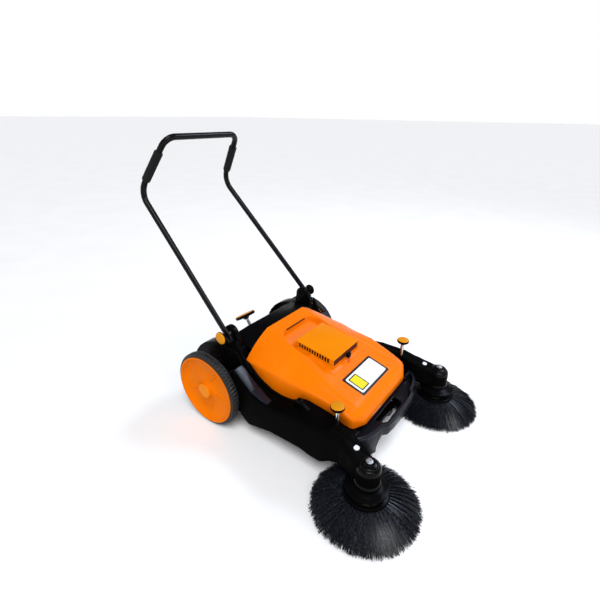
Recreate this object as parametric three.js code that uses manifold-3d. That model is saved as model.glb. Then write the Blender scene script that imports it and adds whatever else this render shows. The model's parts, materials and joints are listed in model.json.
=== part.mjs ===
// A walk-behind sweeper: two wheels drive two disc brushes in front and a roller brush between
// the wheels, and the dirt is thrown into a lift-out hopper. Millimetres, +Z up, front towards -Y.
// Most outlines are drawn from the wheel axle line: y = 0 there, z = 0 on the floor, x = 0 on the
// plane of symmetry. Parts of one side are drawn at +X, outboard positive, and mirrored.
import * as THREE from "three";
import { mergeVertices } from "three/addons/utils/BufferGeometryUtils.js";
import Module from "manifold-3d";

const wasm = await Module();
wasm.setup();

// ---- driving dimensions ----
const FOOTPRINT_SHIFT = 207.6; // from the centre of the footprint back to the wheel axle
const GAP = 0.35; // air between pieces that touch
const WALL = 3.5; // moulded wall thickness

const WHEEL_RADIUS = 144;
const WHEEL_INNER_X = 295;
const WHEEL_OUTER_X = 331;
const TYRE_THICKNESS = 6.5;
const WHEEL_FACETS = 40;
const AXLE_RADIUS = 8;
const BUSH_RADIUS = 14;

const PIVOT = { x: 238, y: -39, z: 349 }; // where the handle folds
const HANDLE_RADIUS = 11;
const TUBE_WALL = 2;
const HANDLE_LOW_BEND = { x: 211, y: 403, z: 788 };
const HANDLE_TOP_CORNER = { x: 169, y: 268, z: 981 };
const LOW_BEND_RADIUS = 60;
const TOP_BEND_RADIUS = 45;
const GRIP_RADIUS = 15.5;
const GRIP_LENGTH = 125;

const SHOULDER_RADIUS = 155;
const SHOULDER_INNER_X = 196;
const SHOULDER_OUTER_X = 244;
const COVER_HALF_WIDTH = 195;
const RAIL_INNER_X = 190;
const RAIL_OUTER_X = 228.5;

const ARM_INNER_X = 232;
const ARM_REAR_INNER_X = 245;
const ARM_SPLIT_X = 262;
const ARM_OUTER_X = 292;
const BRUSH_X = 290;
const BRUSH_Y = -643;
const BRUSH_RADIUS = 168;
const HEAD_RADIUS = 37;
const HEAD_SHAFT_Z = 136;
const SIDE_KNOB = { x: 242, y: -503 };
const BELT_X = 264;
const AXLE_PULLEY_RADIUS = 32;
const HEAD_PULLEY_RADIUS = 16;

const ROLLER = { y: 30, z: 97 };
const ROLLER_RADIUS = 96.4;
const ROLLER_HALF_LENGTH = 184;
const ROLLER_PULLEY_RADIUS = 14;
const ROLLER_DRIVE_RADIUS = 28;
const ROLLER_BELT_X = 199;

const REAR_KNOB = { y: 104, z: 283 };
const REAR_KNOB_TILT = THREE.MathUtils.degToRad(32.6); // leans back from the vertical
const REAR_NUT_DISTANCE = 86; // from the knob's disc down its stud to the carriage's nut

const CASTER = { x: 114, y: -532 };
const CASTER_RADIUS = 24;
const CASTER_TRAIL = 12;

const LID_HALF_WIDTH = 85;
const LID_REAR_Y = -228;
const LID_FRONT_Y = -389;
const LID_REAR_Z = 324;
const LID_FRONT_Z = 302;
const LID_GAP = [282, 294]; // heights of the slit under the lid's front edge

// ---- materials ----
function plastic(color, roughness) {
  return new THREE.MeshStandardMaterial({ color, roughness, metalness: 0 });
}

function metal(color, roughness) {
  return new THREE.MeshStandardMaterial({ color, roughness, metalness: 1 });
}

const ORANGE = () => plastic(0xff8200, 0.35);
const LID_ORANGE = () => plastic(0xf59600, 0.35);
const BLACK = () => plastic(0x1b1c1e, 0.45);
const RUBBER = () => plastic(0x151515, 0.85);
const FOAM = () => plastic(0x101010, 0.95);
const BRISTLE = () => plastic(0x1c2026, 0.6);
const BLACK_PAINT = () => plastic(0x0c0c0d, 0.25);
const STEEL = () => metal(0xb9bcc0, 0.3);
const CHROME = () => metal(0xdadde0, 0.12);
const PAPER = () => plastic(0xd8d2c4, 0.9);

// ---- turning three.js geometry into solids and back ----
function solidFrom(geometry) {
  const bare = new THREE.BufferGeometry();
  const flat = geometry.index ? geometry.toNonIndexed() : geometry;
  bare.setAttribute("position", flat.getAttribute("position"));
  const merged = mergeVertices(bare, 1e-4);
  const triangles = new Uint32Array(merged.index.array);
  const build = () =>
    new wasm.Manifold(
      new wasm.Mesh({
        numProp: 3,
        vertProperties: merged.attributes.position.array,
        triVerts: triangles,
      }),
    );
  const solid = build();
  if (solid.volume() > 0) return solid;
  for (let i = 0; i < triangles.length; i += 3) {
    [triangles[i + 1], triangles[i + 2]] = [triangles[i + 2], triangles[i + 1]];
  }
  return build();
}

function geometryFrom(solid) {
  const mesh = solid.getMesh();
  const geometry = new THREE.BufferGeometry();
  geometry.setAttribute("position", new THREE.BufferAttribute(mesh.vertProperties, 3));
  geometry.setIndex(new THREE.BufferAttribute(mesh.triVerts, 1));
  const faceted = geometry.toNonIndexed();
  faceted.computeVertexNormals();
  return faceted;
}

function extruded(outline, depth, holes = []) {
  const shape = new THREE.Shape(outline.map(([u, v]) => new THREE.Vector2(u, v)));
  for (const hole of holes) {
    shape.holes.push(new THREE.Path(hole.map(([u, v]) => new THREE.Vector2(u, v))));
  }
  return new THREE.ExtrudeGeometry(shape, { depth, bevelEnabled: false });
}

// An outline in (y, z), between two x.
function sideBlock(outline, x0, x1, holes = []) {
  const geometry = extruded(outline, x1 - x0, holes);
  const turn = new THREE.Matrix4().makeBasis(
    new THREE.Vector3(0, 1, 0),
    new THREE.Vector3(0, 0, 1),
    new THREE.Vector3(1, 0, 0),
  );
  return solidFrom(geometry.applyMatrix4(turn).translate(x0, 0, 0));
}

// An outline in (x, y), between two z.
function planBlock(outline, z0, z1) {
  return solidFrom(extruded(outline, z1 - z0).translate(0, 0, z0));
}

// An outline in (x, z), between two y.
function frontBlock(outline, y0, y1) {
  return solidFrom(
    extruded(outline, y1 - y0)
      .rotateX(Math.PI / 2)
      .translate(0, y1, 0),
  );
}

function cuboid(x0, x1, y0, y1, z0, z1) {
  return solidFrom(
    new THREE.BoxGeometry(x1 - x0, y1 - y0, z1 - z0).translate(
      (x0 + x1) / 2,
      (y0 + y1) / 2,
      (z0 + z1) / 2,
    ),
  );
}

// A profile of (radius, height) turned about its axis, which is then laid along x or z.
function turned(profile, segments, axis, x = 0, y = 0, z = 0) {
  const points = profile.map(([radius, height]) => new THREE.Vector2(radius, height));
  const open = profile[0][0] > 0 || profile.at(-1)[0] > 0;
  if (open) points.push(points[0].clone());
  const geometry = new THREE.LatheGeometry(points, segments);
  if (axis === "x") geometry.rotateZ(-Math.PI / 2);
  if (axis === "z") geometry.rotateX(Math.PI / 2);
  return solidFrom(geometry.translate(x, y, z));
}

function rod(axis, radius, from, to, centre, segments = 16) {
  const profile = [
    [0, from],
    [radius, from],
    [radius, to],
    [0, to],
  ];
  return turned(profile, segments, axis, centre.x ?? 0, centre.y ?? 0, centre.z ?? 0);
}

function ring(axis, inner, outer, from, to, centre, segments = 20) {
  const profile = [
    [inner, from],
    [outer, from],
    [outer, to],
    [inner, to],
  ];
  return turned(profile, segments, axis, centre.x ?? 0, centre.y ?? 0, centre.z ?? 0);
}

// Points on an arc in two dimensions, angles in degrees.
function arc(centre, radius, from, to, steps) {
  return Array.from({ length: steps + 1 }, (_, i) => {
    const angle = THREE.MathUtils.degToRad(from + ((to - from) * i) / steps);
    return [centre[0] + radius * Math.cos(angle), centre[1] + radius * Math.sin(angle)];
  });
}

// A closed solid through rings of equal point count, closed by a flat cap at each end.
function loft(rings) {
  const count = rings[0].length;
  const points = rings.flat();
  const triangles = [];
  for (let i = 0; i + 1 < rings.length; i += 1) {
    for (let j = 0; j < count; j += 1) {
      const a = i * count + j;
      const b = i * count + ((j + 1) % count);
      triangles.push(a, b, a + count, b, b + count, a + count);
    }
  }
  const last = (rings.length - 1) * count;
  for (let j = 1; j + 1 < count; j += 1) {
    triangles.push(0, j + 1, j);
    triangles.push(last, last + j, last + j + 1);
  }
  const geometry = new THREE.BufferGeometry().setFromPoints(points);
  geometry.setIndex(triangles);
  return solidFrom(geometry);
}

// A round pipe along a list of points.
function pipe(points, radius, sides) {
  const normal = new THREE.Vector3();
  let previous = null;
  const rings = points.map((point, i) => {
    const before = points[Math.max(i - 1, 0)];
    const after = points[Math.min(i + 1, points.length - 1)];
    const tangent = after.clone().sub(before).normalize();
    if (previous) normal.projectOnPlane(tangent).normalize();
    else normal.set(0, 0, 1).cross(tangent).normalize();
    previous = tangent;
    const side = new THREE.Vector3().crossVectors(tangent, normal);
    return Array.from({ length: sides }, (_, j) => {
      const angle = (2 * Math.PI * j) / sides;
      return point
        .clone()
        .addScaledVector(normal, radius * Math.cos(angle))
        .addScaledVector(side, radius * Math.sin(angle));
    });
  });
  return loft(rings);
}

// The same corners with each inner one rounded to its radius.
function roundedPath(corners, radii, steps) {
  const path = [corners[0]];
  for (let i = 1; i + 1 < corners.length; i += 1) {
    const into = corners[i].clone().sub(corners[i - 1]).normalize();
    const out = corners[i + 1].clone().sub(corners[i]).normalize();
    const turn = into.angleTo(out);
    const reach = radii[i - 1] * Math.tan(turn / 2);
    const start = corners[i].clone().addScaledVector(into, -reach);
    const inward = out.clone().projectOnPlane(into).normalize();
    const centre = start.clone().addScaledVector(inward, radii[i - 1]);
    for (let j = 0; j <= steps; j += 1) {
      const angle = (turn * j) / steps;
      path.push(
        centre
          .clone()
          .addScaledVector(inward, -radii[i - 1] * Math.cos(angle))
          .addScaledVector(into, radii[i - 1] * Math.sin(angle)),
      );
    }
  }
  path.push(corners.at(-1));
  return path;
}

// ---- the assembly ----
const sweeper = new THREE.Group();
sweeper.name = "walk_behind_sweeper";
const machine = new THREE.Group();
machine.position.y = FOOTPRINT_SHIFT;
sweeper.add(machine);

function addPart(name, solid, material, parent = machine) {
  const mesh = new THREE.Mesh(geometryFrom(solid), material());
  mesh.name = name;
  parent.add(mesh);
  return mesh;
}

// Both sides, as [suffix, group]: the group of the right-hand side is mirrored.
const sides = ["left", "right"].map((name) => {
  const group = new THREE.Group();
  group.scale.x = name === "left" ? 1 : -1;
  machine.add(group);
  return [name, group];
});

const axleLine = { y: 0, z: WHEEL_RADIUS };

// ---- chassis ----
// The edge on which the hopper's side walls rest, from the rear to the front.
const HOPPER_EDGE = [
  [-114, 264],
  [-126, 252],
  [-144, 236],
  [-185, 210],
  [-231, 190],
  [-280, 183],
  [-311, 184],
  [-326, 190],
  [-345, 204],
  [-373, 209],
  [-423, 197],
  [-463, 187],
  [-500, 167],
  [-531, 159],
];
const RAIL_BOTTOM = 62;
const BEAM_TOP = 74;

function chassisRail() {
  const top = HOPPER_EDGE.map(([y, z]) => [y, z - 1]);
  const outer = sideBlock(
    [[-113, RAIL_BOTTOM], ...top, [-545, 150], [-545, RAIL_BOTTOM + 20], [-500, RAIL_BOTTOM]],
    RAIL_INNER_X,
    RAIL_OUTER_X,
  );
  const roof = HOPPER_EDGE.slice(1).map(([y, z]) => [y, z - 6]);
  const hollow = sideBlock(
    [[-124, 50], ...roof, [-539, 146], [-539, 50]],
    RAIL_INNER_X + WALL,
    RAIL_OUTER_X - WALL,
  );
  const stop = cuboid(RAIL_OUTER_X - 6, 252, -509, -491, 138, 146);
  return outer.subtract(hollow).add(stop);
}

function chassisFrame() {
  const rail = chassisRail();
  const rearBeam = cuboid(-192, 192, -126, -113, RAIL_BOTTOM, BEAM_TOP + 4);
  let frame = rail
    .add(rail.mirror([1, 0, 0]))
    .add(rearBeam)
    .add(cuboid(-192, 192, -554, -525, 60, BEAM_TOP))
    .add(cuboid(187, 196, -545, -533, 60, 130))
    .add(cuboid(-196, -187, -545, -533, 60, 130));
  for (const side of [-1, 1]) {
    frame = frame.subtract(
      rod("z", 5 + GAP, 50, 90, { x: side * CASTER.x, y: CASTER.y }, 16),
    );
  }
  return frame;
}

function frontBumper() {
  const half = [
    [228, -547],
    [224, -560],
    [215, -572],
    [190, -588],
    [152, -600],
    [118, -605],
    [104, -617],
    [60, -621.5],
    [0, -623],
  ];
  const rearEdge = [
    [RAIL_INNER_X - 6, -547],
    [RAIL_INNER_X - 6, -531],
  ];
  const plan = mirroredOutline([...rearEdge.toReversed(), ...half]);
  const inset = mirroredOutline([
    [176, -525],
    [176, -554],
    [214, -554],
    [206, -567],
    [186, -579],
    [150, -591],
    [112, -596],
    [98, -607],
    [56, -611],
    [0, -612.5],
  ]);
  const RIM_TOP = 156;
  const TRAY_FLOOR = 128;
  const body = planBlock(plan, 68, RIM_TOP);
  const tray = planBlock(inset, TRAY_FLOOR, 200);
  const belly = planBlock(inset, 50, TRAY_FLOOR - WALL);
  const corner = (side) => {
    const inner = 150 * side;
    const outer = 240 * side;
    return cuboid(Math.min(inner, outer), Math.max(inner, outer), -620, -520, 60, 82);
  };
  const underBar = frontBlock(
    [
      [-152, 50],
      [152, 50],
      [147, 84],
      [137, 104],
      [120, 118],
      [-120, 118],
      [-137, 104],
      [-147, 84],
    ],
    -640,
    -588,
  );
  const rearWay = cuboid(-180, 180, -575, -520, 60, 112);
  const handSlot = planBlock(
    [
      [-76, -556],
      [-70, -584],
      [-56, -594],
      [56, -594],
      [70, -584],
      [76, -556],
    ],
    60,
    200,
  );
  return body
    .subtract(tray)
    .subtract(belly)
    .subtract(underBar)
    .subtract(rearWay)
    .subtract(handSlot)
    .subtract(corner(-1))
    .subtract(corner(1))
    .subtract(cuboid(-186, 186, -562, -520, 150, 200));
}

// A half outline from the rear to the front at +x, with its mirror image back to the rear.
function mirroredOutline(half) {
  const other = half.toReversed().map(([x, y]) => [-x, y]);
  return [...half, ...other.filter(([x]) => x !== 0)];
}

const COVER_SLOPE_START = 131;

function rearCoverSection(inset) {
  return [
    [-112, 337 - inset],
    [-41 - 0.4 * inset, 341 - inset],
    [60 - 0.7 * inset, 250 - 0.75 * inset],
    [118 - 0.85 * inset, 170 - 0.55 * inset],
    [141 - inset, 110 - 0.3 * inset],
    [136 - inset, 58 - inset],
    [120, 58 - inset],
    [120, 50],
    [-112, 50],
  ];
}

function rearCoverArch(halfWidth, drop) {
  const side = 341 - drop - 0.678 * (halfWidth - COVER_SLOPE_START);
  return [
    [-halfWidth, 40],
    [halfWidth, 40],
    [halfWidth, side],
    [COVER_SLOPE_START, 341.5 - drop],
    [-COVER_SLOPE_START, 341.5 - drop],
    [-halfWidth, side],
  ];
}

function rearCover() {
  const w = COVER_HALF_WIDTH;
  const outer = sideBlock(rearCoverSection(0), -w, w).intersect(
    frontBlock(rearCoverArch(w, 0), -200, 200),
  );
  const inner = sideBlock(rearCoverSection(4), -w - 20, w + 20).intersect(
    frontBlock(rearCoverArch(w + 20, 5), -300, 200),
  );
  const open = cuboid(-w - 20, w + 20, -200, 117, 0, 110);
  const front = cuboid(-w - 20, w + 20, -200, -111.9, 0, 400);
  const studHole = rearStudRod(9, -90, 0, 20);
  return outer.subtract(inner).subtract(open).subtract(front).subtract(studHole);
}

// A rod along the rear knob's stud, heights counted from the knob's disc.
function rearStudRod(radius, from, to, segments) {
  return solidFrom(
    turnedGeometry([
      [0, from],
      [radius, from],
      [radius, to],
      [0, to],
    ], segments),
  );
}

function turnedGeometry(profile, segments) {
  const points = profile.map(([radius, height]) => new THREE.Vector2(radius, height));
  return new THREE.LatheGeometry(points, segments)
    .rotateX(Math.PI / 2)
    .rotateX(-REAR_KNOB_TILT)
    .translate(0, REAR_KNOB.y, REAR_KNOB.z);
}

function shoulder() {
  const drum = (radius, inset) => [
    [-109 + inset, RAIL_BOTTOM + 2 - inset],
    [128 - inset, RAIL_BOTTOM + 2 - inset],
    ...arc([0, WHEEL_RADIUS], radius, -28, 96, 12),
    [-62, 300 - inset],
    [-82, 300 - inset],
    [-109 + inset, 262],
  ];
  const shell = sideBlock(drum(SHOULDER_RADIUS, 0), SHOULDER_INNER_X, SHOULDER_OUTER_X).subtract(
    sideBlock(drum(SHOULDER_RADIUS - 4, 4), SHOULDER_INNER_X - 10, SHOULDER_OUTER_X - 4),
  );
  const ear = sideBlock(
    [
      [-80, 296],
      [-2, 292],
      ...arc([PIVOT.y, PIVOT.z], 29, -10, 150, 8),
      [-84, 330],
    ],
    206,
    224.5,
  );
  const flange = sideBlock(
    [
      [-82, 250],
      [-82, 336],
      [-90, 326],
      [-112, 284],
      [-152, 240],
      [-150, 226],
      [-112, 206],
    ],
    229.5,
    240,
  );
  const boss = rod("x", 20, 212, SHOULDER_OUTER_X, axleLine, 24);
  const boltHole = rod("x", 4 + GAP, 190, 240, PIVOT_CENTRE, 12);
  const belly = cuboid(180, 250, -130, 140, 40, RAIL_BOTTOM + 2.1);
  return shell
    .add(ear)
    .add(flange)
    .add(boss)
    .subtract(belly)
    .subtract(rod("x", BUSH_RADIUS + GAP, 180, 260, axleLine, 24))
    .subtract(boltHole);
}

const PIVOT_CENTRE = { y: PIVOT.y, z: PIVOT.z };

addPart("chassis_frame", chassisFrame(), BLACK);
addPart("front_bumper", frontBumper(), BLACK);
addPart("rear_cover", rearCover(), BLACK);
for (const [side, group] of sides) {
  addPart("shoulder_" + side, shoulder(), BLACK, group);
  const bush = ring("x", AXLE_RADIUS + GAP, BUSH_RADIUS, 210, 254, axleLine);
  addPart("axle_bush_" + side, bush, STEEL, group);
}

// ---- wheels ----
function tyre() {
  const inner = WHEEL_RADIUS - TYRE_THICKNESS;
  const profile = [
    [inner, WHEEL_INNER_X],
    [WHEEL_RADIUS - 2.5, WHEEL_INNER_X],
    [WHEEL_RADIUS, WHEEL_INNER_X + 4],
    [WHEEL_RADIUS, WHEEL_OUTER_X - 4],
    [WHEEL_RADIUS - 2.5, WHEEL_OUTER_X],
    [inner, WHEEL_OUTER_X],
  ];
  return turned(profile, WHEEL_FACETS, "x", 0, 0, WHEEL_RADIUS);
}

function rim() {
  const edge = WHEEL_RADIUS - TYRE_THICKNESS - GAP;
  const profile = [
    [AXLE_RADIUS + GAP, WHEEL_INNER_X],
    [22, WHEEL_INNER_X],
    [24, 310],
    [60, 308],
    [118, 312],
    [edge - 6, 300],
    [edge - 6, WHEEL_INNER_X],
    [edge, WHEEL_INNER_X],
    [edge, WHEEL_OUTER_X],
    [edge - 8, WHEEL_OUTER_X],
    [118, 317],
    [60, 314],
    [24, 322],
    [22, 329],
    [AXLE_RADIUS + GAP, 329],
  ];
  return turned(profile, WHEEL_FACETS, "x", 0, 0, WHEEL_RADIUS);
}

function hubCap() {
  const profile = [
    [0, 329 + GAP],
    [22, 329 + GAP],
    [22, 333],
    [14, 337],
    [0, 338],
  ];
  return turned(profile, 20, "x", 0, 0, WHEEL_RADIUS);
}

function sideDrivePulley() {
  const bore = AXLE_RADIUS + GAP;
  const profile = [
    [bore, BELT_X],
    [AXLE_PULLEY_RADIUS, BELT_X],
    [AXLE_PULLEY_RADIUS, BELT_X + 8],
    [17, BELT_X + 8],
    [17, WHEEL_INNER_X - GAP],
    [bore, WHEEL_INNER_X - GAP],
  ];
  return turned(profile, 24, "x", 0, 0, WHEEL_RADIUS);
}

for (const [side, group] of sides) {
  addPart("tyre_" + side, tyre(), RUBBER, group);
  addPart("rim_" + side, rim(), ORANGE, group);
  addPart("hub_cap_" + side, hubCap(), ORANGE, group);
  addPart("wheel_axle_" + side, rod("x", AXLE_RADIUS, 197, 329, axleLine, 24), STEEL, group);
  addPart("side_drive_pulley_" + side, sideDrivePulley(), BLACK, group);
}
addPart(
  "roller_drive_pulley",
  ring("x", AXLE_RADIUS + GAP, ROLLER_DRIVE_RADIUS, ROLLER_BELT_X, ROLLER_BELT_X + 9, axleLine),
  BLACK,
);

// ---- belts ----
// The outline round two pulleys in (y, z), as an outer loop and its hole.
function beltLoop(rear, rearRadius, front, frontRadius, x0, x1) {
  const along = Math.atan2(front[1] - rear[1], front[0] - rear[0]);
  const distance = Math.hypot(front[0] - rear[0], front[1] - rear[1]);
  const loop = (extra) => {
    const lean = Math.acos((rearRadius - frontRadius) / distance);
    const a = THREE.MathUtils.radToDeg(along + lean);
    const b = THREE.MathUtils.radToDeg(along - lean);
    return [
      ...arc(rear, rearRadius + extra, a, b + 360, 12),
      ...arc(front, frontRadius + extra, b, a, 12),
    ];
  };
  return sideBlock(loop(4), x0, x1, [loop(0.9)]);
}

// ---- side arms ----
const ARM_TOP = [
  [-20, 205],
  [-70, 216],
  [-104, 258],
  [-112, 262],
  [-150, 224],
  [-190, 198],
  [-235, 185],
  [-285, 182],
  [-340, 192],
  [-400, 203],
  [-500, 204],
  [-560, 192],
  [-612, 172],
];
const ARM_BOTTOM = [
  [-660, 160],
  [-660, 103],
  [-539, 103],
  [-514, 95],
  [-478, 69],
  [-439, 70],
  [-399, 78],
  [-337, 77],
  [-271, 75],
  [-225, 64],
  [-177, 55],
  [-153, 68],
  [-135, 90],
  [-60, 90],
];

// The lug that stands on the arm beside the hopper's lower edge.
const ARM_LUG = [
  [-340, 190],
  [-350, 222],
  [-357, 228],
  [-370, 228],
  [-383, 214],
  [-404, 203],
  [-404, 200],
  [-340, 189],
];

function armBody() {
  const outline = [
    ...arc([0, WHEEL_RADIUS], 60, -80, 95, 8),
    ...ARM_TOP,
    ...ARM_BOTTOM,
  ];
  const plan = [
    [ARM_REAR_INNER_X, 70],
    [ARM_REAR_INNER_X, -172],
    [ARM_INNER_X, -186],
    [ARM_INNER_X, -560],
    [255, -640],
    [290, -660],
    [322, -640],
    [312, -600],
    [ARM_OUTER_X, -545],
    [ARM_OUTER_X, 70],
  ];
  const head = turned(
    [
      [0, 98],
      [HEAD_RADIUS, 98],
      [HEAD_RADIUS, 154],
      [HEAD_RADIUS - 2.5, 161],
      [29, 166],
      [20, 168],
      [14, 173],
      [0, 174],
    ],
    24,
    "z",
    BRUSH_X,
    BRUSH_Y,
  );
  return sideBlock(outline, 225, 335).intersect(planBlock(plan, 0, 300)).add(head);
}

function armCavity() {
  const outline = [
    ...arc([0, WHEEL_RADIUS], 56, -80, 95, 8),
    [-20, 199],
    [-72, 210],
    [-110, 252],
    [-148, 219],
    [-188, 192],
    [-235, 181],
    [-285, 178],
    [-340, 188],
    [-400, 199],
    [-500, 200],
    [-560, 188],
    [-610, 168],
    [-640, 156],
    [-640, 107],
    [-541, 107],
    [-517, 99],
    [-480, 73],
    [-440, 74],
    [-399, 82],
    [-337, 81],
    [-271, 79],
    [-225, 68],
    [-179, 60],
    [-156, 72],
    [-138, 94],
    [-60, 94],
  ];
  const plan = [
    [ARM_REAR_INNER_X + WALL, 66],
    [ARM_REAR_INNER_X + WALL, -174],
    [ARM_INNER_X + WALL, -188],
    [ARM_INNER_X + WALL, -558],
    [258, -637],
    [290, -655],
    [318, -638],
    [308.5, -602],
    [ARM_OUTER_X - WALL, -547],
    [ARM_OUTER_X - WALL, 66],
  ];
  const well = rod("z", HEAD_RADIUS - WALL, 80, 158, { x: BRUSH_X, y: BRUSH_Y }, 28);
  return sideBlock(outline, 225, 335).intersect(planBlock(plan, 0, 300)).add(well);
}

function armShells() {
  const hollow = armBody().subtract(armCavity());
  const hubHole = rod("x", 24, 270, 300, axleLine, 24);
  const bushHole = rod("x", BUSH_RADIUS + GAP, 230, 255, axleLine, 24);
  const stopSlot = cuboid(228, 238, -516, -484, 112, 153);
  const knobCentre = { x: SIDE_KNOB.x, y: SIDE_KNOB.y };
  const studHole = rod("z", 9.5, 180, 220, knobCentre, 20);
  const boltHole = rod("z", 4 + GAP, 150, 190, { x: BRUSH_X, y: BRUSH_Y }, 12);
  const innerHalf = cuboid(200, ARM_SPLIT_X - GAP, -603, 100, 0, 300);
  const outerHalf = cuboid(200, ARM_SPLIT_X, -603 - GAP, 100, 0, 300);
  const inner = hollow.intersect(innerHalf).add(sideBlock(ARM_LUG, ARM_INNER_X + 1, ARM_INNER_X + 17));
  return {
    inner: inner.subtract(bushHole).subtract(stopSlot).subtract(studHole),
    outer: hollow.subtract(outerHalf).subtract(hubHole).subtract(boltHole),
  };
}

function headBolt() {
  const profile = [
    [0, 160],
    [4, 160],
    [4, 174 + GAP],
    [10, 174 + GAP],
    [10, 178],
    [6, 181],
    [0, 181.5],
  ];
  return turned(profile, 12, "z", BRUSH_X, BRUSH_Y);
}

function dustFlange() {
  const profile = [
    [24, 94],
    [24, 98 - GAP],
    [42, 98 - GAP],
    [53, 92],
    [65, 87],
    [65, 82],
    [52, 87.5],
    [40, 94],
  ];
  return turned(profile, 24, "z", BRUSH_X, BRUSH_Y);
}

// The front belt pulley and, on the same piece, the bevel pinion that turns the brush shaft.
function headPulley() {
  const profile = [
    [0, BELT_X],
    [HEAD_PULLEY_RADIUS, BELT_X],
    [HEAD_PULLEY_RADIUS, BELT_X + 8],
    [11.5, BELT_X + 10],
    [5.5, BELT_X + 18],
    [0, BELT_X + 18],
  ];
  return turned(profile, 24, "x", 0, BRUSH_Y, HEAD_SHAFT_Z);
}

function brushShaft() {
  const profile = [
    [0, 72.5],
    [7, 72.5],
    [7, 118],
    [15.4, 124],
    [7.4, 130],
    [0, 130],
  ];
  return turned(profile, 20, "z", BRUSH_X, BRUSH_Y);
}

function brushHub() {
  const profile = [
    [0, 56],
    [62, 56],
    [69, 60],
    [69, 66],
    [52, 71],
    [16, 72],
    [16, 79],
    [7 + GAP, 79],
    [7 + GAP, 72],
    [0, 72],
  ];
  return turned(profile, 24, "z", BRUSH_X, BRUSH_Y);
}

function brushBristles() {
  const profile = [
    [40, 56 - GAP],
    [61, 56 - GAP],
    [100, 43],
    [140, 24],
    [BRUSH_RADIUS, 5],
    [BRUSH_RADIUS - 3, 0.4],
    [132, 0.4],
    [90, 22],
  ];
  return turned(profile, 28, "z", BRUSH_X, BRUSH_Y);
}

for (const [side, group] of sides) {
  const shells = armShells();
  addPart("arm_outer_shell_" + side, shells.outer, BLACK, group);
  addPart("arm_inner_shell_" + side, shells.inner, BLACK, group);
  const belt = beltLoop(
    [0, WHEEL_RADIUS],
    AXLE_PULLEY_RADIUS,
    [BRUSH_Y, HEAD_SHAFT_Z],
    HEAD_PULLEY_RADIUS,
    BELT_X + 0.5,
    BELT_X + 7.5,
  );
  addPart("side_belt_" + side, belt, RUBBER, group);
  addPart("head_bolt_" + side, headBolt(), STEEL, group);
  addPart("dust_flange_" + side, dustFlange(), BLACK, group);
  addPart("head_pulley_" + side, headPulley(), BLACK, group);
  addPart("brush_shaft_" + side, brushShaft(), STEEL, group);
  addPart("brush_hub_" + side, brushHub(), BLACK, group);
  addPart("brush_bristles_" + side, brushBristles(), BRISTLE, group);
}

// ---- side height knobs ----
function sideKnob() {
  const profile = [
    [0, 253],
    [8, 253],
    [10, 257],
    [20, 261],
    [23.5, 263],
    [23.5, 269],
    [20, 272],
    [0, 273],
  ];
  return turned(profile, 20, "z", SIDE_KNOB.x, SIDE_KNOB.y);
}

for (const [side, group] of sides) {
  addPart("height_knob_" + side, sideKnob(), ORANGE, group);
  const stud = rod("z", 5, 146 + GAP, 253 - GAP, SIDE_KNOB, 16);
  addPart("height_stud_" + side, stud, CHROME, group);
}

// ---- roller brush and its carriage ----
const nutY = REAR_KNOB.y - REAR_NUT_DISTANCE * Math.sin(REAR_KNOB_TILT);
const nutZ = REAR_KNOB.z - REAR_NUT_DISTANCE * Math.cos(REAR_KNOB_TILT);

function brushCarriage() {
  const PLATE_X = 187.5;
  const plate = sideBlock(
    [
      ...arc([ROLLER.y, ROLLER.z], 24, -200, 20, 8),
      [nutY + 9, nutZ - 8],
      [nutY + 9, nutZ + 8],
      [nutY - 9, nutZ + 8],
      [nutY - 9, nutZ - 8],
    ],
    PLATE_X,
    PLATE_X + 4,
  );
  const tie = cuboid(-PLATE_X - 4, PLATE_X + 4, nutY - 9, nutY + 9, nutZ - 8, nutZ + 8);
  return tie
    .add(plate)
    .add(plate.mirror([1, 0, 0]))
    .subtract(rod("x", 7 + GAP, -200, 200, ROLLER, 16))
    .subtract(rearStudRod(6.5 + GAP, -REAR_NUT_DISTANCE - 30, -REAR_NUT_DISTANCE + 30, 16));
}

function rollerCore() {
  const end = ROLLER_BELT_X + 9;
  const profile = [
    [0, -195],
    [7, -195],
    [7, -ROLLER_HALF_LENGTH],
    [26, -ROLLER_HALF_LENGTH],
    [26, ROLLER_HALF_LENGTH],
    [7, ROLLER_HALF_LENGTH],
    [7, ROLLER_BELT_X],
    [ROLLER_PULLEY_RADIUS, ROLLER_BELT_X],
    [ROLLER_PULLEY_RADIUS, end],
    [0, end],
  ];
  return turned(profile, 20, "x", 0, ROLLER.y, ROLLER.z);
}

addPart("brush_carriage", brushCarriage(), BLACK);
addPart("roller_core", rollerCore(), BLACK);
addPart(
  "roller_bristles",
  ring("x", 26 + GAP, ROLLER_RADIUS, -ROLLER_HALF_LENGTH + 2, ROLLER_HALF_LENGTH - 2, ROLLER, 36),
  BRISTLE,
);
addPart(
  "roller_belt",
  beltLoop(
    [ROLLER.y, ROLLER.z],
    ROLLER_PULLEY_RADIUS,
    [0, WHEEL_RADIUS],
    ROLLER_DRIVE_RADIUS,
    ROLLER_BELT_X + 1,
    ROLLER_BELT_X + 8,
  ),
  RUBBER,
);

const rearKnobProfile = [
  [0, -9],
  [14, -9],
  [18, -5],
  [40, -4],
  [43.5, -1],
  [43.5, 5],
  [41, 7.5],
  [0, 8],
];
addPart("rear_height_knob", solidFrom(turnedGeometry(rearKnobProfile, 32)), ORANGE);
addPart(
  "rear_height_stud",
  rearStudRod(6.5, -REAR_NUT_DISTANCE - 10, -9 - GAP, 16),
  CHROME,
);

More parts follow.
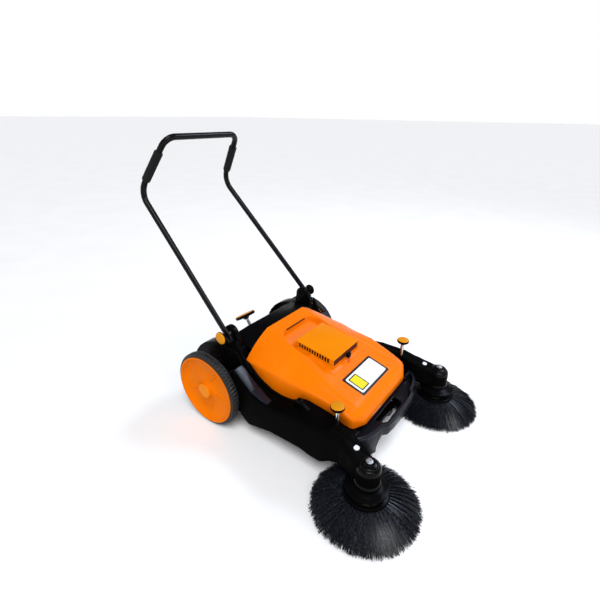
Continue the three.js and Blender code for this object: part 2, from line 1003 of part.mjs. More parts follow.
// ---- handle ----
function handleTube() {
  const start = new THREE.Vector3(PIVOT.x, PIVOT.y, PIVOT.z);
  const low = new THREE.Vector3(HANDLE_LOW_BEND.x, HANDLE_LOW_BEND.y, HANDLE_LOW_BEND.z);
  const top = new THREE.Vector3(HANDLE_TOP_CORNER.x, HANDLE_TOP_CORNER.y, HANDLE_TOP_CORNER.z);
  const foot = start.clone().addScaledVector(low.clone().sub(start).normalize(), -30);
  const half = [foot, low, top];
  const other = half.toReversed().map((p) => new THREE.Vector3(-p.x, p.y, p.z));
  const radii = [LOW_BEND_RADIUS, TOP_BEND_RADIUS, TOP_BEND_RADIUS, LOW_BEND_RADIUS];
  const path = roundedPath([...half, ...other], radii, 6);
  const bore = [foot.clone().addScaledVector(low, -0.01), ...path.slice(1, -1)];
  bore.push(new THREE.Vector3(-bore[0].x, bore[0].y, bore[0].z));
  const bolts = rod("x", 4 + GAP, -270, 270, PIVOT_CENTRE, 12);
  return pipe(path, HANDLE_RADIUS, 12)
    .subtract(pipe(bore, HANDLE_RADIUS - TUBE_WALL, 8))
    .subtract(bolts);
}

function grip() {
  const low = new THREE.Vector3(HANDLE_LOW_BEND.x, HANDLE_LOW_BEND.y, HANDLE_LOW_BEND.z);
  const top = new THREE.Vector3(HANDLE_TOP_CORNER.x, HANDLE_TOP_CORNER.y, HANDLE_TOP_CORNER.z);
  const along = top.clone().sub(low).normalize();
  const from = low.clone().addScaledVector(along, 54);
  const to = from.clone().addScaledVector(along, GRIP_LENGTH);
  const bore = [from.clone().addScaledVector(along, -5), to.clone().addScaledVector(along, 5)];
  const sleeve = pipe([from, to], GRIP_RADIUS, 16);
  return sleeve.subtract(pipe(bore, HANDLE_RADIUS + 0.5, 16));
}

function clampKnob() {
  const profile = [
    [0, 208],
    [4, 208],
    [4, 251],
    [11, 251],
    [13, 257],
    [21, 264],
    [22.5, 266],
    [22.5, 271],
    [20, 273],
    [0, 273.5],
  ];
  return turned(profile, 18, "x", 0, PIVOT.y, PIVOT.z);
}

addPart("handle_tube", handleTube(), BLACK_PAINT);
for (const [side, group] of sides) {
  addPart("grip_" + side, grip(), FOAM, group);
  addPart("clamp_knob_" + side, clampKnob(), ORANGE, group);
}

// ---- hopper ----
// Stations of the orange cover from the rear to the front: the height and half width of its flat
// top, and the height and half width of the crease between the top and the side wall.
const STATIONS = [
  { y: -114, top: 346, flat: 111, z: 268, x: 225 },
  { y: -168, top: 335, flat: 113, z: 266, x: 226 },
  { y: -230, top: 313, flat: 118, z: 262, x: 226 },
  { y: -300, top: 289, flat: 130, z: 251, x: 222 },
  { y: -380, top: 262, flat: 145, z: 245, x: 216 },
  { y: -430, top: 245, flat: 155, z: 233, x: 209 },
  { y: -480, top: 231, flat: 160, z: 219, x: 203.5 },
  { y: -520, top: 220, flat: 158, z: 203, x: 200 },
  { y: -542, top: 205, flat: 155, z: 189, x: 193 },
  { y: -556, top: 183, flat: 150, z: 172, x: 168 },
];
const HOPPER_BOTTOM = 152;

function deckHeight(y) {
  const next = STATIONS.findIndex((station) => station.y <= y);
  const a = STATIONS[next - 1];
  const b = STATIONS[next];
  return a.top + ((b.top - a.top) * (y - a.y)) / (b.y - a.y);
}

function hopperLoft(inset) {
  const bottom = HOPPER_BOTTOM - (inset ? 20 : 0);
  const rings = STATIONS.map((station, i) => {
    const end = i === 0 ? -inset : i === STATIONS.length - 1 ? inset : 0;
    const half = [
      [station.flat - 0.4 * inset, station.top - inset],
      [station.x - 11 - 0.9 * inset, station.z + 7 - 0.7 * inset],
      [station.x - 0.95 * inset, station.z - 6],
      [station.x - inset, bottom],
    ];
    const outline = [...half, ...half.toReversed().map(([x, z]) => [-x, z])];
    return outline.map(([x, z]) => new THREE.Vector3(x, station.y + end, z));
  });
  return loft(rings);
}

const GRIP_REAR_Y = -168;
const GRIP_FRONT_Y = -222;
const FILTER = { halfWidth: 70, rear: -243, front: -375 };

// The hand grip in the top: a sloping scoop with a finger pocket under the deck behind it.
function gripScoop(grow) {
  const g = grow;
  return sideBlock(
    [
      [GRIP_FRONT_Y - g, 400],
      [GRIP_FRONT_Y - g, 296 - g],
      [-206, 293 - g],
      [-170, 318 - g],
      [-142 + g, 318 - g],
      [-142 + g, 331 + g * 0.3],
      [GRIP_REAR_Y + 0.3 * g, 329 + g * 0.3],
      [GRIP_REAR_Y + 0.3 * g, 400],
    ],
    -84 - g,
    84 + g,
  );
}

function hopperCover() {
  const outer = hopperLoft(0);
  const pocket = gripScoop(3).intersect(outer);
  const below = [...HOPPER_EDGE, [-545, 152], [-620, 152], [-620, 40], [-90, 40], [-90, 264]];
  const sideCut = sideBlock(below, 185, 260);
  const rearMouth = cuboid(-180, 180, -130, -100, 100, 262);
  const filterHole = cuboid(
    -FILTER.halfWidth,
    FILTER.halfWidth,
    FILTER.front,
    FILTER.rear,
    220,
    400,
  );
  const frontNotch = cuboid(-120, 120, -570, -551, 100, 300);
  const w = LID_HALF_WIDTH - 4;
  const upstand = cuboid(-w, w, LID_FRONT_Y, LID_FRONT_Y + 3, 250, LID_GAP[0]);
  return outer
    .subtract(hopperLoft(WALL))
    .add(pocket)
    .add(upstand)
    .subtract(gripScoop(0))
    .subtract(sideCut)
    .subtract(sideCut.mirror([1, 0, 0]))
    .subtract(rearMouth)
    .subtract(filterHole)
    .subtract(frontNotch);
}

// The open tray that catches the dirt, under the cover.
function hopperBin() {
  const section = (inset) => [
    [-128 - 2 * inset, 82 + inset],
    [-128 - 2 * inset, inset ? 300 : 150],
    [-528 + inset, inset ? 300 : 150],
    [-528 + inset, 98 + inset],
    [-470, 98 + inset],
    [-440, 82 + inset],
  ];
  const w = 185;
  return sideBlock(section(0), -w, w)
    .subtract(sideBlock(section(3), -w + 3, w - 3))
    .subtract(cuboid(-w + 3, w - 3, -140, -120, 96, 300));
}

function filterCassette() {
  const w = FILTER.halfWidth - 1.5;
  const rear = FILTER.rear - 1.5;
  const front = FILTER.front + 1.5;
  const body = sideBlock(
    [
      [front, deckHeight(front) - 32],
      [rear, deckHeight(rear) - 32],
      [rear, deckHeight(rear) + 2],
      [front, deckHeight(front) + 2],
    ],
    -w,
    w,
  );
  const lip = sideBlock(
    [
      [front - 6, deckHeight(front - 6) + 0.8],
      [-300, deckHeight(-300) + 0.8],
      [rear + 6, deckHeight(rear + 6) + 0.8],
      [rear + 6, deckHeight(rear + 6) + 3],
      [-300, deckHeight(-300) + 3],
      [front - 6, deckHeight(front - 6) + 3],
    ],
    -w - 6,
    w + 6,
  );
  return body.add(lip);
}

function lidTop(y) {
  const share = (LID_REAR_Y - y) / (LID_REAR_Y - LID_FRONT_Y - 5);
  return LID_REAR_Z + (LID_FRONT_Z - LID_REAR_Z) * share;
}

// The filter's lid: a top plate on vented side walls, open in front but for its turned-down edge.
function filterLid() {
  const skirt = 1;
  const outline = (inset) => [
    [LID_FRONT_Y + inset, deckHeight(LID_FRONT_Y) + skirt - (inset ? 30 : 0)],
    [-380, deckHeight(-380) + skirt - (inset ? 30 : 0)],
    [-300, deckHeight(-300) + skirt - (inset ? 30 : 0)],
    [-230, deckHeight(-230) + skirt - (inset ? 30 : 0)],
    [LID_REAR_Y - inset, deckHeight(LID_REAR_Y) + skirt - (inset ? 30 : 0)],
    [LID_REAR_Y - inset, LID_REAR_Z - inset],
    [LID_FRONT_Y + 5 + inset * 0.4, LID_FRONT_Z - inset],
    [LID_FRONT_Y + inset, LID_FRONT_Z - 4 - inset],
  ];
  const w = LID_HALF_WIDTH;
  const front = cuboid(-w + 3, w - 3, LID_FRONT_Y - 5, LID_FRONT_Y + 5, 200, LID_GAP[1]);
  let lid = sideBlock(outline(0), -w, w).subtract(sideBlock(outline(3), -w + 3, w - 3)).subtract(front);
  const SLOTS = 12;
  for (let i = 0; i < SLOTS; i += 1) {
    const y = -246 - i * 10.9;
    const top = lidTop(y) - 6;
    const bottom = Math.max(deckHeight(y) + 3.5, top - 18);
    if (top - bottom > 3) lid = lid.subtract(cuboid(-w - 5, w + 5, y - 2.5, y + 2.5, bottom, top));
  }
  return lid;
}

function lidLatch() {
  const foot = deckHeight(-405) + 1;
  const leaf = cuboid(-4, 4, -405, -402, foot, 292);
  const hook = sideBlock(
    [
      [-394, 284],
      [-394, 295],
      [-397, 297.5],
      [-402, 297],
      [-405, 294],
      [-405, 282],
    ],
    -9,
    9,
  );
  return leaf.add(hook);
}

addPart("hopper_cover", hopperCover(), ORANGE);
addPart("hopper_bin", hopperBin(), BLACK);
addPart("filter_cassette", filterCassette(), PAPER);
addPart("filter_lid", filterLid(), LID_ORANGE);
addPart("lid_latch", lidLatch(), BLACK);

// ---- front casters ----
function casterFork() {
  const wheelY = CASTER.y + CASTER_TRAIL;
  const cheek = (x) =>
    sideBlock(
      [
        ...arc([wheelY, CASTER_RADIUS], 7, -180, 0, 6),
        [CASTER.y + 16, 52],
        [CASTER.y - 12, 52],
      ],
      x,
      x + 2.5,
    );
  return cheek(CASTER.x - 13)
    .add(cheek(CASTER.x + 10.5))
    .add(cuboid(CASTER.x - 13, CASTER.x + 13, CASTER.y - 12, CASTER.y + 16, 51, 59))
    .add(rod("z", 5, 55, 80, CASTER, 16))
    .add(rod("x", 2.5, CASTER.x - 12, CASTER.x + 12, { y: wheelY, z: CASTER_RADIUS }, 12));
}

function casterWheel() {
  return ring(
    "x",
    2.5 + GAP,
    CASTER_RADIUS,
    CASTER.x - 9,
    CASTER.x + 9,
    { y: CASTER.y + CASTER_TRAIL, z: CASTER_RADIUS },
    28,
  );
}

for (const [side, group] of sides) {
  addPart("caster_fork_" + side, casterFork(), STEEL, group);
  addPart("caster_wheel_" + side, casterWheel(), RUBBER, group);
}

export default sweeper;
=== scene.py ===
"""The looks of a walk-behind sweeper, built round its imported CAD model.

Outlines are in millimetres from the wheel axle line: x = 0 on the plane of symmetry, y = 0 at the
axle, z = 0 on the floor, front towards -Y. Pieces of one side are drawn at +X and mirrored.
"""

import json
import math
import random

import bmesh
import bpy
import numpy as np
from mathutils import Matrix, Vector

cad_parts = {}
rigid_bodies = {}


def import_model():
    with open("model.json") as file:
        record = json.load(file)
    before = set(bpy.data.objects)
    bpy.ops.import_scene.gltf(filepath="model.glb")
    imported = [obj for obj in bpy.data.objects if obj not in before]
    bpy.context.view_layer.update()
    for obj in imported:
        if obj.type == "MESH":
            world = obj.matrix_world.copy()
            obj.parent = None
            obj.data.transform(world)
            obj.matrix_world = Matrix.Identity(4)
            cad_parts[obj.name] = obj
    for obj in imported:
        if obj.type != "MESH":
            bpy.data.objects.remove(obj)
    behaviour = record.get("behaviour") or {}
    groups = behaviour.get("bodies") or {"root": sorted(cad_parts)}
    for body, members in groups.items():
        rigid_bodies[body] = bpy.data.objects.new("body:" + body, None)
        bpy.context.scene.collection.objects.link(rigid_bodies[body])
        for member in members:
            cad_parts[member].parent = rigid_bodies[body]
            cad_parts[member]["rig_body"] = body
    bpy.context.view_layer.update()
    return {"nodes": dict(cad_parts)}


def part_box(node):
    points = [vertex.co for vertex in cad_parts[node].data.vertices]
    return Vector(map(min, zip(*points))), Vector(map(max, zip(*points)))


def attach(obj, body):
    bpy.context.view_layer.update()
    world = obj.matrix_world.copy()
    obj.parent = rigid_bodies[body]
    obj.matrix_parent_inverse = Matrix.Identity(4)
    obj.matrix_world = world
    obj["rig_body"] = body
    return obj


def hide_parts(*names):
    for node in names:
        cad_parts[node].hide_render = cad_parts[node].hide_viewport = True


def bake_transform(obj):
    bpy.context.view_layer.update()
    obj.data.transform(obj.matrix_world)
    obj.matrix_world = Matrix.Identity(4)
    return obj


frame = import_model()

tyre_low, tyre_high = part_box("tyre_left")
AXLE_Y = (tyre_low.y + tyre_high.y) / 2
SIDES = (("left", 1), ("right", -1))

# Places in the outlines: BRUSH and SIDE_KNOB are (x, y), ROLLER is (y, z), the others (x, y, z).
WHEEL_R = 144
PIVOT = (238, -39, 349)
BRUSH = (290, -643)
BRUSH_REACH = 168
ROLLER = (30, 97)
THREAD_R = 7.4
SIDE_KNOB = (242, -503)
REAR_KNOB = (0, 104, 283)
REAR_TILT = math.radians(32.6)
HANDLE_LOW = (211, 403, 788)
HANDLE_TOP = (169, 268, 981)

CAMERA_PLACE = (-1069, -963, 1058)
CAMERA_YAW, CAMERA_PITCH, CAMERA_ROLL = (math.radians(a) for a in (-53.846, 25.114, 0.754))
LENS = 23.825


def at(x, y, z):
    """A point of the millimetre outlines as a point of the row frame."""
    return Vector((x / 1000, y / 1000 + AXLE_Y, z / 1000))


# ---- materials ----
class Nodes:
    """A material's node tree, with short calls for the nodes that the materials share."""

    def __init__(self, name):
        self.material = bpy.data.materials.new(name)
        self.material.use_nodes = True
        self.tree = self.material.node_tree
        self.shader = self.tree.nodes["Principled BSDF"]
        self.coords = self.tree.nodes.new("ShaderNodeTexCoord").outputs["Object"]

    def set(self, **values):
        for name, value in values.items():
            self.shader.inputs[name.replace("_", " ")].default_value = value

    def link(self, output, socket):
        self.tree.links.new(output, socket)

    def add(self, kind, source, socket, **values):
        """A new node with source linked to one of its sockets and its other inputs set."""
        node = self.tree.nodes.new("ShaderNode" + kind)
        for name, value in values.items():
            node.inputs[name.replace("_", " ")].default_value = value
        self.link(source, node.inputs[socket])
        return node

    def noise(self, scale, detail, roughness=0.5):
        node = self.add("TexNoise", self.coords, "Vector", Scale=scale, Detail=detail, Roughness=roughness)
        return node.outputs["Fac"]

    def paint(self, value, stops):
        """The base colour, from a ramp of (place, colour) stops over value."""
        node = self.add("ValToRGB", value, "Fac")
        elements = node.color_ramp.elements
        for element, (place, color) in zip(elements, (stops[0], stops[-1])):
            element.position = place
            element.color = (*color, 1)
        for place, color in stops[1:-1]:
            elements.new(place).color = (*color, 1)
        self.link(node.outputs["Color"], self.shader.inputs["Base Color"])

    def roughen(self, value, low, high):
        """Roughness from low to high, over the middle of the noise's range."""
        node = self.add("MapRange", value, "Value", From_Min=0.3, From_Max=0.7, To_Min=low, To_Max=high)
        self.link(node.outputs["Result"], self.shader.inputs["Roughness"])

    def bump(self, value, strength, distance):
        node = self.add("Bump", value, "Height", Strength=strength, Distance=distance)
        self.link(node.outputs["Normal"], self.shader.inputs["Normal"])


def moulded_plastic(name, dark, light, roughness, grain, specular=0.3):
    """Injection-moulded plastic: fine grain, soft patches of gloss and a slight drift of colour."""
    nodes = Nodes(name)
    patches = nodes.noise(9, 3)
    nodes.paint(patches, [(0.3, dark), (0.7, light)])
    nodes.roughen(nodes.noise(26, 5), roughness * 0.85, roughness * 1.2)
    nodes.set(Specular_IOR_Level=specular)
    nodes.bump(nodes.noise(1400, 2), 0.12 * grain, 0.0002)
    return nodes.material


def tyre_rubber():
    nodes = Nodes("tyre_rubber")
    dust = nodes.noise(38, 6, roughness=0.7)
    stops = [(0.42, (0.004, 0.004, 0.005)), (0.62, (0.01, 0.01, 0.011)), (0.8, (0.05, 0.05, 0.052))]
    nodes.paint(dust, stops)
    nodes.roughen(dust, 0.36, 0.7)
    nodes.set(Specular_IOR_Level=0.4)
    nodes.bump(nodes.noise(700, 3), 0.2, 0.0003)
    return nodes.material


def bristle_fibre():
    """Dark fibre, streaked along the tufts by small differences of gloss and by blue-grey colour that is a
    painted sheen.
    """
    nodes = Nodes("bristle_fibre")
    gloss_and_sheen_streaks = nodes.noise(160, 4)
    # The blue-grey stops paint a highlight into the fibre's colour: painted sheen.
    stops = [(0.35, (0.003, 0.003, 0.004)), (0.55, (0.008, 0.009, 0.014)), (0.75, (0.035, 0.04, 0.06))]
    nodes.paint(gloss_and_sheen_streaks, stops)
    nodes.roughen(gloss_and_sheen_streaks, 0.26, 0.45)
    nodes.set(Specular_IOR_Level=0.25)
    return nodes.material


def grip_foam():
    nodes = Nodes("grip_foam")
    cells = nodes.noise(900, 3, roughness=0.7)
    nodes.paint(cells, [(0.3, (0.003, 0.003, 0.003)), (0.75, (0.012, 0.012, 0.013))])
    nodes.set(Specular_IOR_Level=0.2)
    nodes.roughen(cells, 0.75, 0.95)
    nodes.bump(cells, 0.5, 0.0006)
    return nodes.material


def gloss_paint():
    nodes = Nodes("gloss_paint")
    peel = nodes.noise(120, 3)
    nodes.paint(peel, [(0.3, (0.002, 0.002, 0.0022)), (0.7, (0.004, 0.004, 0.0045))])
    nodes.roughen(peel, 0.2, 0.3)
    nodes.set(Specular_IOR_Level=0.12)
    nodes.bump(nodes.noise(500, 2), 0.06, 0.0002)
    return nodes.material


def bright_metal(name, color, roughness):
    nodes = Nodes(name)
    marks = nodes.noise(240, 5, roughness=0.65)
    shade = tuple(c * 0.72 for c in color)
    nodes.paint(marks, [(0.25, shade), (0.7, color)])
    nodes.roughen(marks, roughness, roughness * 2.2)
    nodes.set(Metallic=1.0)
    nodes.bump(marks, 0.05, 0.0002)
    return nodes.material


def fleece():
    nodes = Nodes("filter_fleece")
    fibres = nodes.noise(600, 5, roughness=0.7)
    nodes.paint(fibres, [(0.3, (0.42, 0.38, 0.3)), (0.7, (0.66, 0.61, 0.52))])
    nodes.set(Roughness=0.95)
    nodes.bump(fibres, 0.4, 0.0006)
    return nodes.material


ORANGE = moulded_plastic("orange_plastic", (0.76, 0.15, 0.0), (0.82, 0.17, 0.0), 0.3, 1.0, 0.08)
WHEEL_ORANGE = moulded_plastic("wheel_plastic", (0.7, 0.15, 0.0), (0.76, 0.172, 0.0), 0.24, 0.8, 0.03)
LID_ORANGE = moulded_plastic("lid_plastic", (0.72, 0.2, 0.0), (0.78, 0.225, 0.0), 0.28, 1.0, 0.08)
CAP_ORANGE = moulded_plastic("cap_plastic", (0.6, 0.22, 0.003), (0.67, 0.25, 0.005), 0.4, 1.0, 0.1)
BLACK = moulded_plastic("black_plastic", (0.001, 0.001, 0.0011), (0.002, 0.002, 0.0023), 0.26, 1.2, 0.04)
TRAY_BLACK = moulded_plastic("tray_plastic", (0.004, 0.004, 0.006), (0.008, 0.008, 0.011), 0.3, 1.4, 0.16)
TYRE = tyre_rubber()
BRISTLE = bristle_fibre()
FOAM = grip_foam()
PAINT = gloss_paint()
STEEL = bright_metal("zinc_steel", (0.62, 0.63, 0.65), 0.22)
CHROME = bright_metal("chrome_plate", (0.86, 0.87, 0.89), 0.08)
FLEECE = fleece()
LABEL_WHITE = moulded_plastic("label_white", (0.7, 0.71, 0.76), (0.76, 0.77, 0.82), 0.3, 0.2, 0.3)
LABEL_BLACK = moulded_plastic("label_black", (0.004, 0.004, 0.005), (0.007, 0.007, 0.008), 0.3, 0.2, 0.2)
LABEL_YELLOW = moulded_plastic("label_yellow", (0.74, 0.62, 0.0), (0.8, 0.68, 0.0), 0.3, 0.2, 0.2)
SLOT_DARK = moulded_plastic("slot_shadow", (0.001, 0.0006, 0.0005), (0.002, 0.001, 0.001), 0.7, 0.3, 0.01)
GAP_BROWN = moulded_plastic("gap_shadow", (0.075, 0.018, 0.011), (0.1, 0.024, 0.014), 0.6, 0.3, 0.05)
SATIN_BLACK = moulded_plastic(
    "satin_plastic", (0.0012, 0.0012, 0.0011), (0.002, 0.002, 0.0019), 0.4, 1.2, 0.008
)
# Glossier black with a blue-grey base colour. The blue-grey is painted sheen: a painted highlight for the
# strip light's reflection on the arm band and the tray rim.
SHEEN_PAINTED_BLACK = moulded_plastic(
    "sheen_painted_plastic", (0.006, 0.008, 0.014), (0.009, 0.012, 0.02), 0.32, 0.8, 0.26
)
HEAD_BLACK = moulded_plastic("head_plastic", (0.001, 0.001, 0.0011), (0.002, 0.002, 0.0024), 0.2, 0.8, 0.09)

# Slot names by material; any other material gives the name black_plastic.
SLOT_OF = {
    STEEL.name: "steel", CHROME.name: "chrome", PAINT.name: "handle_paint", FOAM.name: "foam",
    BRISTLE.name: "bristle", TYRE.name: "tyre", LID_ORANGE.name: "lid_plastic",
    ORANGE.name: "orange_plastic", WHEEL_ORANGE.name: "orange_plastic", CAP_ORANGE.name: "orange_plastic",
}


# ---- mesh helpers ----
def add_object(name, data):
    piece = bpy.data.objects.new(name, data)
    bpy.context.scene.collection.objects.link(piece)
    return piece


def bake(piece):
    """Applies the piece's modifiers to its mesh."""
    bpy.context.view_layer.update()
    graph = bpy.context.evaluated_depsgraph_get()
    mesh = bpy.data.meshes.new_from_object(piece.evaluated_get(graph))
    piece.modifiers.clear()
    piece.data = mesh


def finish_piece(piece, material, body, hides=(), sharp=32, slot=None):
    """Shades a piece, gives it its one material, and hangs it on its body."""
    if piece.modifiers:
        bake(piece)
    piece.data.materials.clear()
    piece.data.materials.append(material)
    piece.data.shade_smooth()
    piece.data.set_sharp_from_angle(angle=math.radians(sharp))
    slot = slot or SLOT_OF.get(material.name, "black_plastic")
    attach(piece, body)
    if hides:
        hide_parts(*hides)
    return piece


def face_outward(mesh, weld=0.0):
    """Turns the faces outward, after points closer together than weld are joined."""
    work = bmesh.new()
    work.from_mesh(mesh)
    if weld:
        bmesh.ops.remove_doubles(work, verts=work.verts, dist=weld)
    bmesh.ops.recalc_face_normals(work, faces=work.faces)
    work.to_mesh(mesh)
    work.free()


def skin(name, points, faces, side=1):
    """An object from millimetre points, mirrored for the right-hand side, with its faces outward."""
    mesh = bpy.data.meshes.new(name)
    mesh.from_pydata([at(x * side, y, z) for x, y, z in points], [], faces)
    face_outward(mesh)
    return add_object(name, mesh)


def lofted(name, rings, side=1, closed=False, caps=True):
    """A skin through rings of equal point count, with end caps unless the rings close on themselves."""
    count = len(rings[0])
    faces = []
    last = len(rings) if closed else len(rings) - 1
    for i in range(last):
        for j in range(count):
            a, b = i * count + j, i * count + (j + 1) % count
            shift = ((i + 1) % len(rings) - i) * count
            faces.append((a, b, b + shift, a + shift))
    if caps and not closed:
        faces.append(tuple(range(count)))
        faces.append(tuple((len(rings) - 1) * count + j for j in range(count)))
    points = [point for ring in rings for point in ring]
    return skin(name, points, faces, side)


def turned(name, profile, centre, axis="x", segments=96, side=1, wave=None):
    """A profile of (radius, height) turned about x or z; wave(angle, radius, height) may change a radius."""
    rings = []
    cx, cy, cz = centre
    for i in range(segments):
        angle = 2 * math.pi * i / segments
        ring = []
        for radius, height in profile:
            r = wave(angle, radius, height) if wave else radius
            a, b = r * math.cos(angle), r * math.sin(angle)
            if axis == "x":
                ring.append((cx + height, cy + a, cz + b))
            else:
                ring.append((cx + a, cy + b, cz + height))
        rings.append(ring)
    piece = lofted(name, rings, side, closed=True)
    face_outward(piece.data, weld=1e-6)
    return piece


def turned_set(side_name, side, body, centre, axis, rows):
    """Turned pieces on one axis. A row is name, CAD node, material, segments, sharp angle, profile."""
    for name, node, material, segments, sharp, profile in rows:
        piece = turned(f"{name}_{side_name}", profile, centre, axis, segments, side)
        finish_piece(piece, material, body, [f"{node}_{side_name}"] if node else (), sharp)


def thread(pitch):
    """A wave for turned that cuts a screw thread."""
    return lambda angle, radius, height: radius - 0.5 * ((height / pitch + angle / (2 * math.pi)) % 1)


def swept(name, path, radius, sides=24, side=1, ends=None):
    """A round rod along millimetre points; ends maps a ring's number to its (width, height) factors."""
    points = [Vector(point) for point in path]
    rings = []
    normal = Vector((1, 0, 0))
    for i, point in enumerate(points):
        before, after = points[max(i - 1, 0)], points[min(i + 1, len(points) - 1)]
        tangent = (after - before).normalized()
        normal = (normal - normal.dot(tangent) * tangent).normalized()
        across = tangent.cross(normal)
        wide, high = ends(i) if ends else (1, 1)
        rings.append(
            [
                point
                + normal * radius * wide * math.cos(2 * math.pi * j / sides)
                + across * radius * high * math.sin(2 * math.pi * j / sides)
                for j in range(sides)
            ]
        )
    return lofted(name, rings, side)


def rounded_path(corners, radii, steps=10):
    """The same corners with each inner one turned into an arc."""
    points = [Vector(corner) for corner in corners]
    path = [points[0]]
    for before, corner, after, radius in zip(points, points[1:], points[2:], radii):
        into = (corner - before).normalized()
        out = (after - corner).normalized()
        turn = into.angle(out)
        start = corner - into * radius * math.tan(turn / 2)
        inward = (out - out.dot(into) * into).normalized()
        centre = start + inward * radius
        for i in range(steps + 1):
            angle = turn * i / steps
            path.append(centre - inward * radius * math.cos(angle) + into * radius * math.sin(angle))
    path.append(points[-1])
    return path


def rounded_outline(corners, radii, steps=5):
    """A closed outline in two dimensions with its corners rounded."""
    count = len(corners)
    outline = []
    for i, corner in enumerate(corners):
        before = Vector(corners[i - 1])
        after = Vector(corners[(i + 1) % count])
        here = Vector(corner)
        into, out = (here - before).normalized(), (after - here).normalized()
        turn = max(into.angle(out), 1e-4)
        reach = min(radii[i] * math.tan(turn / 2), 0.45 * min((here - before).length, (after - here).length))
        start, end = here - into * reach, here + out * reach
        for j in range(steps + 1):
            t = j / steps
            outline.append((1 - t) ** 2 * start + 2 * t * (1 - t) * here + t * t * end)
    return [tuple(point) for point in outline]


def slab(name, outline, low, high, plane="xy", side=1, edge=0.0):
    """An outline thickened from low to high along the third axis, its edges rounded by edge mm."""

    def place(u, v, w):
        if plane == "xy":
            return (u, v, w)
        if plane == "yz":
            return (w, u, v)
        return (u, w, v)

    rings = [[place(u, v, low) for u, v in outline], [place(u, v, high) for u, v in outline]]
    piece = lofted(name, rings, side)
    if edge:
        round_edges(piece, edge)
    return piece


def rounded_box(x, y, half_x, half_y, corner):
    """A rectangle round a middle point, with rounded corners."""
    left, right, low, high = x - half_x, x + half_x, y - half_y, y + half_y
    return rounded_outline([(left, low), (right, low), (right, high), (left, high)], [corner] * 4)


def round_edges(piece, width, segments=3, angle=38):
    bevel = piece.modifiers.new("rounded", "BEVEL")
    bevel.width = width / 1000
    bevel.segments = segments
    bevel.limit_method = "ANGLE"
    bevel.angle_limit = math.radians(angle)
    bevel.use_clamp_overlap = False


def refined(node, material, edge, segments=2, slot=None):
    """A CAD node's shape with rounded edges and smooth curves, shown in its place."""
    mesh = frame["nodes"][node].data.copy()
    piece = add_object(node + "_moulded", mesh)
    work = bmesh.new()
    work.from_mesh(mesh)
    bmesh.ops.remove_doubles(work, verts=work.verts, dist=1e-5)
    bmesh.ops.dissolve_limit(
        work, angle_limit=math.radians(1.2), verts=work.verts, edges=work.edges, delimit=set()
    )
    work.to_mesh(mesh)
    work.free()
    round_edges(piece, edge, segments)
    finish_piece(piece, material, frame["nodes"][node]["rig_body"], [node], slot=slot)


def smooth_line(points, count):
    """Points in between, on a curve that passes through the given ones without overshooting."""
    points = np.array(points, float)
    t = np.concatenate([[0], np.cumsum(np.linalg.norm(np.diff(points[:, :2], axis=0), axis=1))])
    slopes = np.diff(points, axis=0) / np.diff(t)[:, None]
    tangents = np.zeros_like(points)
    tangents[0], tangents[-1] = slopes[0], slopes[-1]
    left, right = slopes[:-1], slopes[1:]
    same = left * right > 0
    tangents[1:-1] = np.where(same, 2 * left * right / np.where(same, left + right, 1), 0)
    result = []
    for value in np.linspace(0, t[-1], count):
        i = min(int(np.searchsorted(t, value, side="right")) - 1, len(t) - 2)
        h = t[i + 1] - t[i]
        s = (value - t[i]) / h
        result.append(
            (2 * s**3 - 3 * s**2 + 1) * points[i]
            + (s**3 - 2 * s**2 + s) * h * tangents[i]
            + (-2 * s**3 + 3 * s**2) * points[i + 1]
            + (s**3 - s**2) * h * tangents[i + 1]
        )
    return np.array(result)


def along(points, y):
    """Linear interpolation of (y, value) pairs, whichever way they run."""
    ordered = sorted(points)
    return float(np.interp(y, [p[0] for p in ordered], [p[1] for p in ordered]))


# ---- hopper ----
# The cover's stations from rear to front: y, height and half width of the flat top, height and
# half width of the crease over the side wall.
STATIONS = [
    (-114, 346, 111, 268, 225), (-168, 335, 113, 266, 226), (-230, 313, 118, 262, 226),
    (-300, 289, 130, 251, 222), (-380, 262, 145, 245, 216), (-430, 245, 155, 233, 209),
    (-480, 231, 160, 219, 203.5), (-520, 220, 158, 203, 200), (-532, 213, 155, 196, 196),
    (-545, 202, 148, 186, 173), (-556, 183, 138, 172, 150),
]
HOPPER_EDGE = [
    (-114, 264), (-126, 252), (-144, 236), (-185, 210), (-231, 190), (-280, 183), (-311, 184), (-326, 190),
    (-345, 204), (-373, 209), (-423, 197), (-463, 187), (-500, 167), (-531, 159), (-560, 158),
]
LID_HALF_WIDTH = 85
LID_REAR = -228
LID_FRONT = -389
LID_MIDDLE = -300
LID_SKIRT = 4
UPSTAND_TOP = 273


def deck_height(y):
    return along([(s[0], s[1]) for s in STATIONS], y)


def recess_half_width(y):
    """The hand recess widens from its rear edge towards the lid."""
    return along([(-232, 111), (-212, 110), (-194, 104), (-178, 93), (-164, 74)], y)


def scoop_depth(x, y):
    """How far the hand recess drops below the deck at a point."""
    wall = 9.0
    across = min(max((recess_half_width(y) - abs(x)) / wall, 0), 1)
    behind = min(max((-164 - y) / 5.0, 0), 1)
    share = across * across * (3 - 2 * across) * behind
    floor = along([(-229, 296), (-208, 294), (-170, 314), (-160, 318)], y)
    if y < LID_REAR:
        share = across * across * (3 - 2 * across)
        floor = lid_top(y) - 24
    return share * max(deck_height(y) - floor, 0)


def hopper_cover():
    rear_to_front = [-114, -118, -140, -160, -163.9, -165.5, -167.5, -169.5, -175]
    rear_to_front += list(range(-182, -230, -4)) + list(range(-236, -520, -9))
    rear_to_front += [-520, -528, -535, -541, -546, -550, -553, -555, -556]
    station_lines = hopper_stations(rear_to_front)
    rings = [cover_ring(y, station_lines[y]) for y in rear_to_front]
    points = [p for ring in rings for p in ring]
    faces = cover_faces(len(rings), len(rings[0]))
    piece = skin("hopper_cover_shell", points, faces)
    shell = piece.modifiers.new("wall", "SOLIDIFY")
    shell.thickness = 0.003
    shell.offset = -1
    finish_piece(piece, ORANGE, "hopper", ["hopper_cover"], 40)


